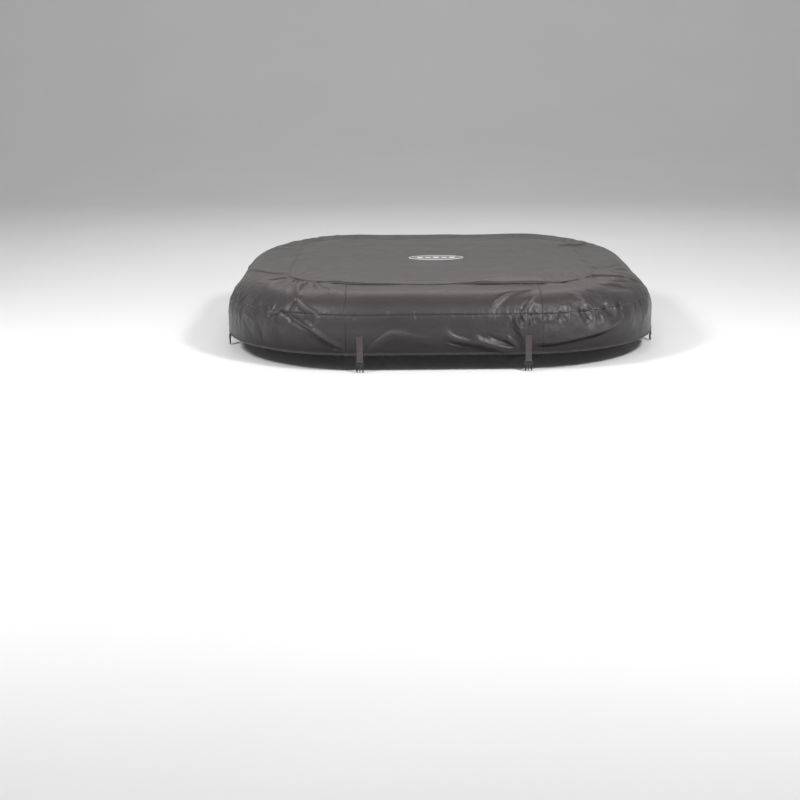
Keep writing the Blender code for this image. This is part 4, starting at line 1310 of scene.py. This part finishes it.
def thread_look():
    """Twisted sewing thread."""
    m = Nodes("thread")
    twist = m.put("TexWave", {"Vector": m.coords(), "Scale": 900.0, "Distortion": 2.0}).outputs["Fac"]
    tone = m.mix(twist, (0.030, 0.027, 0.027), (0.060, 0.056, 0.055))
    return m.done(Base_Color=tone, Roughness=0.55, Normal=m.bump(twist, 0.00006), Sheen_Weight=0.2)


def plastic_look(name, dark, light, roughness=0.38, grain=700.0):
    """Moulded plastic with a fine grain."""
    m = Nodes(name)
    fine = m.noise(grain, 3.0, 0.6)
    cloud = m.noise(60.0, 3.0, 0.6)
    tone = m.mix(cloud, dark, light)
    rough = m.math("MULTIPLY_ADD", fine, 0.14, roughness - 0.07)
    return m.done(Base_Color=tone, Roughness=rough, Normal=m.bump(fine, 0.00009))


def metal_look():
    """Brushed metal of the zip's slider and pull."""
    m = Nodes("zip_metal")
    brush = m.noise(400.0, 4.0, 0.6, m.coords((1, 12, 12)))
    tone = m.mix(brush, (0.42, 0.41, 0.40), (0.62, 0.61, 0.60))
    return m.done(Base_Color=tone, Metallic=1.0, Roughness=m.math("MULTIPLY_ADD", brush, 0.2, 0.22),
                  Normal=m.bump(brush, 0.00004))


def film_look():
    """Welded PVC film of the inflatable lid."""
    m = Nodes("lid_film")
    cloud = m.noise(9.0, 3.0, 0.6)
    fine = m.noise(420.0, 2.0, 0.5)
    tone = m.ramp(cloud, (0.3, (0.46, 0.50, 0.52)), (0.75, (0.56, 0.60, 0.62)))
    return m.done(Base_Color=tone, Roughness=m.math("MULTIPLY_ADD", cloud, 0.2, 0.24),
                  Normal=m.bump(fine, 0.00012, m.bump(m.noise(30.0, 3.0), 0.0012)))


def nylon_look():
    """Coated nylon of the lid's pocket, with a ripstop grid."""
    m = Nodes("pocket_nylon")
    split = m.put("SeparateXYZ", {0: m.coords()})
    lines = []
    for axis in (0, 1):
        wave = m.math("SINE", m.times(split.outputs[axis], 2 * pi / 0.006), 0.0)
        lines.append(m.math("GREATER_THAN", wave, 0.93))
    grid = m.math("MAXIMUM", lines[0], lines[1])
    cloud = m.noise(6.0, 4.0, 0.6)
    fine = m.noise(1200.0, 2.0, 0.5)
    tone = m.ramp(cloud, (0.3, (0.270, 0.275, 0.285)), (0.75, (0.345, 0.350, 0.360)))
    tone = m.mix(m.times(grid, 0.25), tone, (0.42, 0.43, 0.44))
    normal = m.bump(m.noise(60.0, 4.0, 0.6), 0.0010)
    normal = m.bump(m.math("MULTIPLY_ADD", grid, 0.6, fine), 0.00015, normal)
    return m.done(Base_Color=tone, Roughness=m.math("MULTIPLY_ADD", cloud, 0.2, 0.42), Normal=normal,
                  Sheen_Weight=0.15)


def floor_look():
    """A pale, even floor that can't be seen from behind."""
    m = Nodes("pale_floor")
    cloud = m.noise(1.5, 2.0, 0.5)
    tone = m.ramp(cloud, (0.3, (0.86, 0.86, 0.86)), (0.7, (0.88, 0.88, 0.88)))
    shader = m.shader
    shader.inputs["Roughness"].default_value = 0.9
    shader.inputs["Specular IOR Level"].default_value = 0.1
    m.join(tone, shader.inputs["Base Color"])
    clear = m.put("BsdfTransparent")
    back = m.put("NewGeometry").outputs["Backfacing"]
    both = m.put("MixShader", {0: back, 1: shader.outputs[0], 2: clear.outputs[0]})
    m.tree.links.new(both.outputs[0], m.tree.nodes["Material Output"].inputs["Surface"])
    return m.material


# ---------------------------------------------------------------- build

skin = skin_look()
backing = backing_look()
webbing = woven_look("webbing", (0.047, 0.038, 0.038), (0.112, 0.094, 0.091), 0.0014)
tape = woven_look("hem_tape", (0.028, 0.021, 0.020), (0.057, 0.044, 0.041), 0.0009)
thread = thread_look()
buckle = plastic_look("buckle_plastic", (0.020, 0.020, 0.021), (0.030, 0.030, 0.031))
valve_plastic = plastic_look("valve_plastic", (0.56, 0.58, 0.60), (0.64, 0.66, 0.68), 0.34)
metal = metal_look()
patch_grey = plastic_look("patch_grey", (0.17, 0.17, 0.172), (0.21, 0.21, 0.212), 0.42, 500.0)
patch_light = plastic_look("patch_light", (0.70, 0.70, 0.70), (0.78, 0.78, 0.78), 0.38, 500.0)
zip_cloth = woven_look("zip_cloth", (0.018, 0.018, 0.019), (0.050, 0.050, 0.052), 0.0008)
tooth_plastic = plastic_look("zip_teeth", (0.022, 0.022, 0.023), (0.034, 0.034, 0.035), 0.35)
film = film_look()
nylon = nylon_look()

SLIM = GAP / 2
panels = []
for layer, low, high in (("band", GAP, SEAM_D - SLIM), ("skirt", SEAM_D + SLIM, HEM_D)):
    for k in range(4):
        start = k * QUARTER
        side = side_panel(f"{layer}_{SIDES[k]}_skin", low, high, lambda d: start - seam_a(d) + SLIM,
                          lambda d: start + seam_a(d) - SLIM, [skin, backing])
        corner = side_panel(f"{layer}_corner_{CORNERS[k]}_skin", low, high,
                            lambda d: start + seam_a(d) + SLIM,
                            lambda d: start + QUARTER - seam_a(d) - SLIM, [skin, backing])
        for made, node in ((side, f"{layer}_{SIDES[k]}"), (corner, f"{layer}_corner_{CORNERS[k]}")):
            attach(made, "cover")
            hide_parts(node)
            panels.append(made)
top = top_panel([skin, backing])
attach(top, "cover")
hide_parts("top_panel")

binding = hem_binding(tape)
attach(binding, "cover")
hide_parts("hem_binding")

straps(webbing, thread)

around = np.linspace(0, 4 * QUARTER, 1500)
seam_rows = [("stitch_panel", 0.0065, THREAD_LIFT), ("stitch_seam_upper", SEAM_D - BESIDE_SEAM, THREAD_LIFT),
             ("stitch_seam_lower", SEAM_D + BESIDE_SEAM, THREAD_LIFT),
             ("stitch_hem", HEM_D - 0.0058, HEM_THREAD_LIFT)]
seam_rows = [(name, [skin_at(around, d, lift)[:2]]) for name, d, lift in seam_rows]
upright_d = np.linspace(0.010, HEM_D - 0.010, 110)
uprights = [skin_at(k * QUARTER + sign * (seam_a(upright_d) + BESIDE_SEAM), upright_d, THREAD_LIFT)[:2]
            for k in range(4) for sign in (-1, 1)]
for name, paths in (*seam_rows, ("stitch_uprights", uprights)):
    sewn = stitches(name, paths, thread)
    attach(sewn, "cover")

plugs(buckle)
patch_pieces = patch(patch_grey, patch_light)
lid_piece = lid(film)
pocket_piece = pocket(nylon, tape)
zip_pieces(zip_cloth, tooth_plastic, thread)

# small mouldings that keep their CAD mesh, with their edges rounded by width
for node, look, width in (("valve_base", valve_plastic, 0.0003), ("valve_cap", valve_plastic, 0.0003),
                          ("valve_flap", valve_plastic, 0.0002), ("zip_slider", metal, 0.0003),
                          ("zip_pull", metal, 0.0003)):
    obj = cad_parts[node]
    if not obj.material_slots:
        obj.data.materials.append(look)
    for slot in obj.material_slots:
        slot.material = look
    weld = obj.modifiers.new("weld", "WELD")
    weld.merge_threshold = 0.00001
    bevel = obj.modifiers.new("bevel", "BEVEL")
    bevel.limit_method, bevel.angle_limit = "ANGLE", radians(35)
    bevel.width, bevel.segments = width, 2

# a loop over the panels by kind, with nothing done in any branch
for piece in panels:
    if piece.name.startswith("band_corner"):
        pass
    elif piece.name.startswith("band"):
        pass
    else:
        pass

# ---------------------------------------------------------------- stage, light and camera

FLOOR_Z = -0.3050
WALL_Y, BEND_R = 9.0, 4.0  # the wall behind, and the bend between it and the floor
STAGE_FRONT, STAGE_TOP, STAGE_HALF = -14.0, 14.0, 16.0


def backdrop():
    """A floor that curves up into a wall well behind the object."""
    bend_y = WALL_Y - BEND_R
    line = [(STAGE_FRONT, 0.0), (bend_y, 0.0)]
    for i in range(1, 17):
        turn = i / 16 * pi / 2
        line.append((bend_y + BEND_R * sin(turn), BEND_R - BEND_R * cos(turn)))
    line.append((WALL_Y, STAGE_TOP))
    verts = [(x, y, FLOOR_Z + z) for x in (-STAGE_HALF, STAGE_HALF) for y, z in line]
    count = len(line)
    faces = [(i, i + count, i + 1 + count, i + 1) for i in range(count - 1)]
    made = mesh_object("floor", verts, faces, [floor_look()])


def area_light(name, place, aim, size, power):
    """A soft light at place, turned towards aim."""
    data = bpy.data.lights.new(name, "AREA")
    data.shape = "RECTANGLE"
    data.size, data.size_y = size
    data.energy = power
    made = linked(name, data)
    made.location = place
    made.rotation_mode = "QUATERNION"
    made.rotation_quaternion = (Vector(aim) - Vector(place)).to_track_quat("-Z", "Y")


def surroundings(strength):
    """An even white light from all round."""
    world = bpy.data.worlds.new("studio")
    world.use_nodes = True
    background = world.node_tree.nodes["Background"]
    background.inputs["Color"].default_value = (1.0, 1.0, 1.0, 1.0)
    background.inputs["Strength"].default_value = strength
    bpy.context.scene.world = world


def view_camera(aim, distance, azimuth, elevation, roll, lens, shift):
    """The camera, looking at aim from an azimuth and elevation in degrees, and rolled about its view."""
    data = bpy.data.cameras.new("camera")
    data.lens, data.sensor_width, data.clip_end = lens, 36.0, 100.0
    data.shift_x, data.shift_y = shift
    azimuth, elevation, roll = radians(azimuth), radians(elevation), radians(roll)
    back = Vector((sin(azimuth) * cos(elevation), -cos(azimuth) * cos(elevation), sin(elevation)))
    right = (-back).cross(Vector((0, 0, 1))).normalized()
    up = right.cross(-back)
    right, up = right * cos(roll) + up * sin(roll), up * cos(roll) - right * sin(roll)
    camera = linked("camera", data)
    camera.matrix_world = (Matrix.Translation(Vector(aim) + back * distance)
                           @ Matrix((right, up, back)).transposed().to_4x4())
    bpy.context.scene.camera = camera


backdrop()
area_light("behind_high", (0.0, 2.9, 3.3), (0, 0.1, 0), (4.2, 2.0), 48)
area_light("front_high", (0.0, -3.2, 4.0), (0, -0.4, -0.1), (2.6, 1.0), 22)
area_light("left_soft", (-2.9, -2.4, 2.9), (0, 0, -0.1), (0.9, 0.9), 115)
area_light("right_soft", (2.2, -2.9, 2.8), (0.2, 0, -0.1), (0.7, 0.7), 125)
surroundings(0.30)
bpy.context.scene.view_settings.view_transform = "Standard"
view_camera(aim=(0.0, 0.0, -0.3134), distance=6.787, azimuth=-1.298, elevation=11.424, roll=-0.278,
            lens=66.96, shift=(-0.04875, -0.0890))
